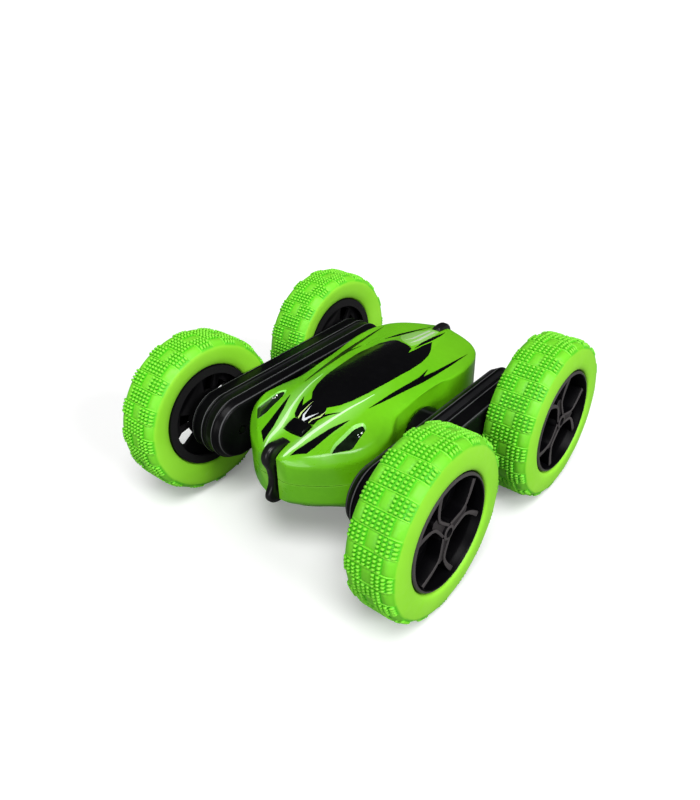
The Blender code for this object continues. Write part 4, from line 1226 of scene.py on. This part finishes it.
def arm_casing(inner):
    casing = sweep_tray("arm_tmp", INNER_WALL if inner else OUTER_WALL)
    adds = []
    if inner:
        adds.append(revolve("spigot", SPIGOT, 64, 0.017))
    else:
        for end in (1, -1):
            boss = revolve("boss", BOSS, 40, 0.013)
            boss.location = (0, end * WHEEL_Y * MM, 0)
            adds.append(boss)
    cuts = [rod("bore", 1.9, 15, 50, 24, 0.03)]
    for end in (1, -1):
        for y, radius in ARM_BORES:
            bore = rod("bore", radius, 25, 50, 20, 0.03)
            bore.location = (0, end * y * MM, 0)
            cuts.append(bore)
    boolean(casing, adds, "UNION")
    boolean(casing, cuts, "DIFFERENCE")
    shade(casing, 30.0)
    # Painted highlight: grey lines round the casing on its ribs and rounded edges.
    highlight_tones = []
    for vert in casing.data.vertices:
        x, y, z = vert.co / MM
        radius = math.hypot(max(0.0, abs(y) - WHEEL_Y), z)
        tone = 0.0
        for line_x, strength, least in ARM_HIGHLIGHT_LINES:
            if abs(x - line_x) < 0.06 and radius > least:
                tone = strength
        highlight_tones.append(tone)
    casing.data.attributes.new("line", "FLOAT", "POINT").data.foreach_set("value", highlight_tones)
    return casing


for label in ("inner", "outer"):
    casing = arm_casing(label == "inner")
    for side, side_name in SIDES:
        body = link_object(f"{side_name}_arm_{label}_casing", casing.data.copy())
        if side < 0:
            body.data.transform(Matrix.Rotation(math.pi, 4, "Z"))
        piece(body, f"{side_name}_arm", BLACK,
              f"{side_name}_arm_{label}_cover")
    bpy.data.objects.remove(casing)


# ------------------------------------------------------------------ bumpers, scoops, lamps
# Side lines (y, z) from the top of the body down to the middle plane.
FRONT_FACE = [
    (-46.4, 12.3), (-48.0, 12.7), (-49.6, 13.0), (-51.2, 13.4), (-53.0, 13.7), (-55.0, 13.3),
    (-56.8, 11.9), (-57.7, 9.8), (-57.6, 7.6), (-56.7, 5.6), (-55.8, 3.4), (-55.4, 0.0)]
FRONT_BACK = [(-46.4, 9.0), (-50.4, 8.4), (-52.0, 5.5), (-52.0, 0.0)]
REAR_FACE = [
    (47.4, 18.0), (48.2, 18.6), (49.6, 18.8), (51.6, 18.9), (54.0, 18.5), (56.2, 17.1),
    (57.5, 14.9), (57.7, 12.4), (56.9, 9.9), (55.9, 6.6), (55.2, 3.4), (55.0, 0.0)]
REAR_BACK = [(47.4, 14.8), (49.6, 14.4), (51.6, 11.0), (51.6, 0.0)]
BUMPER_STEPS, BUMPER_SIDES = 34, 20
SCOOP_LINE = [
    (-42.6, 8.6), (-42.7, 12.9), (-42.3, 13.6), (-41.2, 14.3), (-39.4, 14.8), (-37.8, 15.1),
    (-37.1, 14.8), (-36.9, 14.0), (-36.9, 8.6)]
BULBS = [(20.7, -29.6, 0.50), (20.2, -31.0, 0.34), (21.0, -31.4, 0.28)]  # x, y, radius


def along(path, steps):
    """steps + 1 points spaced evenly along a line of points."""
    lengths = [0.0]
    for start, end in zip(path, path[1:]):
        lengths.append(lengths[-1] + math.dist(start, end))
    at = np.linspace(0, lengths[-1], steps + 1)
    return list(zip(*(np.interp(at, lengths, column) for column in zip(*path))))


def bumper(end_name, face, back, knob_z, lower):
    """Rubber strip down the end of the body: a round knob top and bottom, a narrow waist.

    lower scales the height of the lower half.
    """
    outside, core = along(smooth_path(face, 4), BUMPER_STEPS), along(back, BUMPER_STEPS)
    for line in (outside, core):
        line += [(y, -z * lower) for y, z in line[::-1][1:]]
    verts, faces = [], []
    for (out_y, out_z), (in_y, in_z) in zip(outside, core):
        t = min(1.0, max(0.0, (abs(out_z) - knob_z + 4.6) / 3.4))
        half_x = 1.45 + 0.50 * t * t * (3 - 2 * t)
        middle_y, half_y = (out_y + in_y) / 2, (out_y - in_y) / 2
        middle_z, half_z = (out_z + in_z) / 2, (out_z - in_z) / 2
        for k in range(BUMPER_SIDES):
            angle = 2 * math.pi * (k + 0.5) / BUMPER_SIDES
            deep, wide = (math.copysign(abs(value) ** 0.55, value)
                          for value in (math.cos(angle), math.sin(angle)))
            verts.append((wide * half_x * MM, (middle_y + half_y * deep) * MM,
                          (middle_z + half_z * deep) * MM))
    last = (len(outside) - 1) * BUMPER_SIDES
    for ring in range(0, last, BUMPER_SIDES):
        ahead = ring + BUMPER_SIDES
        for k in range(BUMPER_SIDES):
            j = (k + 1) % BUMPER_SIDES
            faces.append((ring + k, ring + j, ahead + j, ahead + k))
    faces.append(tuple(range(BUMPER_SIDES)))
    faces.append(tuple(range(last, last + BUMPER_SIDES)))
    body = new_object(end_name + "_bumper_strip", verts, faces, 55.0)
    piece(body, "chassis", BUMPER, end_name + "_bumper")


def scoop(sign, label):
    body = prism(f"{label}_scoop_block", [(y, sign * z) for y, z in SCOOP_LINE], -4.0, 4.0,
                 bevel=0.45, along_x=True, smooth=45.0, bevel_angle=30.0)
    piece(body, "chassis", BLACK_PRINT, f"{label}_hood_scoop")


def lamp(sign, side, prefix):
    """Dark lens in its pocket, with three small chrome domes on it."""
    outline = [(side * (LAMP_X + (x - LAMP_X) * 0.975), LAMP_Y + (y - LAMP_Y) * 0.985)
               for x, y in LAMPS[sign]]
    low, high = sorted((sign * 10.6, sign * 12.35))
    lens = prism(prefix + "lamp_lens", rounded(outline, 0.9), low, high, bevel=0.3, smooth=45.0)
    piece(lean(lens, side, sign), "chassis", LENS, prefix + "headlight")
    upright = Matrix.Rotation(math.radians(-90 * sign), 4, "Y")
    for k, (x, y, r) in enumerate(BULBS):
        profile = [(0, 0.0), (r, 0.05), (r * 0.8, r * 0.7), (r * 0.35, r), (0, r * 1.05)]
        bulb = revolve("lamp_bulb", profile, 10, 0.1, smooth=50.0)
        place = Matrix.Translation((side * x * MM, y * MM, sign * 12.28 * MM))
        bulb.data.transform(place @ upright)
        lean(bulb, side, sign)
        bulb.name = bulb.data.name = f"{prefix}lamp_glint_{k}"
        piece(bulb, "chassis", CHROME)


bumper("front", FRONT_FACE, FRONT_BACK, knob_z=11.0, lower=0.78)
bumper("rear", REAR_FACE, REAR_BACK, knob_z=14.5, lower=1.0)
for sign, label in HALVES:
    scoop(sign, label)
    for side, side_name in SIDES:
        lamp(sign, side, f"{label}_{side_name}_")


# ------------------------------------------------------------------ carried-over CAD nodes
def node_material(name):
    if "gear" in name and "pinion" not in name:
        return NYLON
    if name.endswith("motor_pinion"):
        return BRASS
    if "switch" in name:
        return SWITCH
    if name == "battery_pack":
        return BATTERY
    if name == "circuit_board":
        return BOARD
    if name.endswith(("_axle", "_idler_pin")):
        return BLACKENED
    return STEEL


for name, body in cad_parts.items():
    if not body.hide_render:
        dress(body, node_material(name))


# ------------------------------------------------------------------ floor, light, camera
# Metres from here on.
FLOOR_HALF, FLOOR_Z = 40, -0.0326
CAMERA_PLACE = (0.14901, -0.18725, 0.15330)
CAMERA_AZIMUTH, CAMERA_ELEVATION, CAMERA_ROLL = 40.215, 31.711, -1.399
CAMERA_LENS = 31.907


def floor_material():
    """Nearly white to the camera, mid grey in the light it throws back."""
    shader = Shader("pale_floor", roughness=0.9, specular=0.0)
    seen = shader.mix(shader.patches(scale=3.0, detail=2.0), (0.93, 0.93, 0.93),
                      (0.95, 0.95, 0.95))
    to_camera = shader.add("ShaderNodeLightPath").outputs["Is Camera Ray"]
    colour = shader.mix(to_camera, (0.20, 0.20, 0.20), seen)
    shader.fill(shader.principled, {"Emission Color": (1.0, 1.0, 1.0, 1.0),
                                    "Emission Strength": shader.scaled(to_camera, 0.15)})
    sheen = shader.patches(scale=20.0, to=(0.85, 0.95))
    return shader.finish(colour, sheen, shader.noise(scale=500.0), strength=0.02,
                         distance=0.0001)


def studio_world(ambient, seen_extra, gloss_extra):
    """White world; the extras are added to its strength for camera and for glossy rays."""
    world = bpy.data.worlds.new("studio")
    scene.world = world
    world.use_nodes = True
    tree = world.node_tree
    background = tree.nodes["Background"]
    path = tree.nodes.new("ShaderNodeLightPath")
    total = None
    for ray, extra in (("Is Camera Ray", seen_extra), ("Is Glossy Ray", gloss_extra)):
        node = tree.nodes.new("ShaderNodeMath")
        node.operation = "MULTIPLY_ADD"
        tree.links.new(path.outputs[ray], node.inputs[0])
        node.inputs[1].default_value = extra
        if total is None:
            node.inputs[2].default_value = ambient
        else:
            tree.links.new(total, node.inputs[2])
        total = node.outputs[0]
    tree.links.new(total, background.inputs["Strength"])
    background.inputs["Color"].default_value = (1, 1, 1, 1)


def soft_sun(name, towards, strength, angle):
    """A broad studio panel far enough away to light the floor evenly."""
    light = bpy.data.lights.new(name, "SUN")
    light.energy = strength
    light.angle = math.radians(angle)
    body = link_object(name, light)
    body.rotation_mode = "QUATERNION"
    body.rotation_quaternion = Vector(towards).to_track_quat("Z", "Y")


def add_camera():
    azimuth, elevation, roll = (
        math.radians(angle) for angle in (CAMERA_AZIMUTH, CAMERA_ELEVATION, CAMERA_ROLL))
    back = Vector((math.sin(azimuth) * math.cos(elevation),
                   -math.cos(azimuth) * math.cos(elevation), math.sin(elevation)))
    level = Vector((math.cos(azimuth), math.sin(azimuth), 0))
    upright = back.cross(level)
    right = math.cos(roll) * level + math.sin(roll) * upright
    up = -math.sin(roll) * level + math.cos(roll) * upright
    data = bpy.data.cameras.new("camera")
    data.lens = CAMERA_LENS
    data.clip_start = 0.01
    camera = link_object("camera", data)
    placement = Matrix((right, up, back)).transposed().to_4x4()
    placement.translation = Vector(CAMERA_PLACE)
    camera.matrix_world = placement
    scene.camera = camera


floor_corners = rectangle(-FLOOR_HALF, FLOOR_HALF, -FLOOR_HALF, FLOOR_HALF)
floor = new_object("floor", [(x, y, FLOOR_Z) for x, y in floor_corners], [(0, 1, 2, 3)])
dress(floor, floor_material())
studio_world(ambient=0.21, seen_extra=0.79, gloss_extra=-0.17)
soft_sun("key_panel", towards=(0.30, -0.26, 0.92), strength=1.98, angle=34.0)
soft_sun("right_panel", towards=(0.88, -0.03, 0.42), strength=1.85, angle=24.0)
soft_sun("front_panel", towards=(0.10, -0.92, 0.30), strength=0.95, angle=36.0)
add_camera()
scene.view_settings.view_transform = "Standard"
scene.view_settings.look = "None"
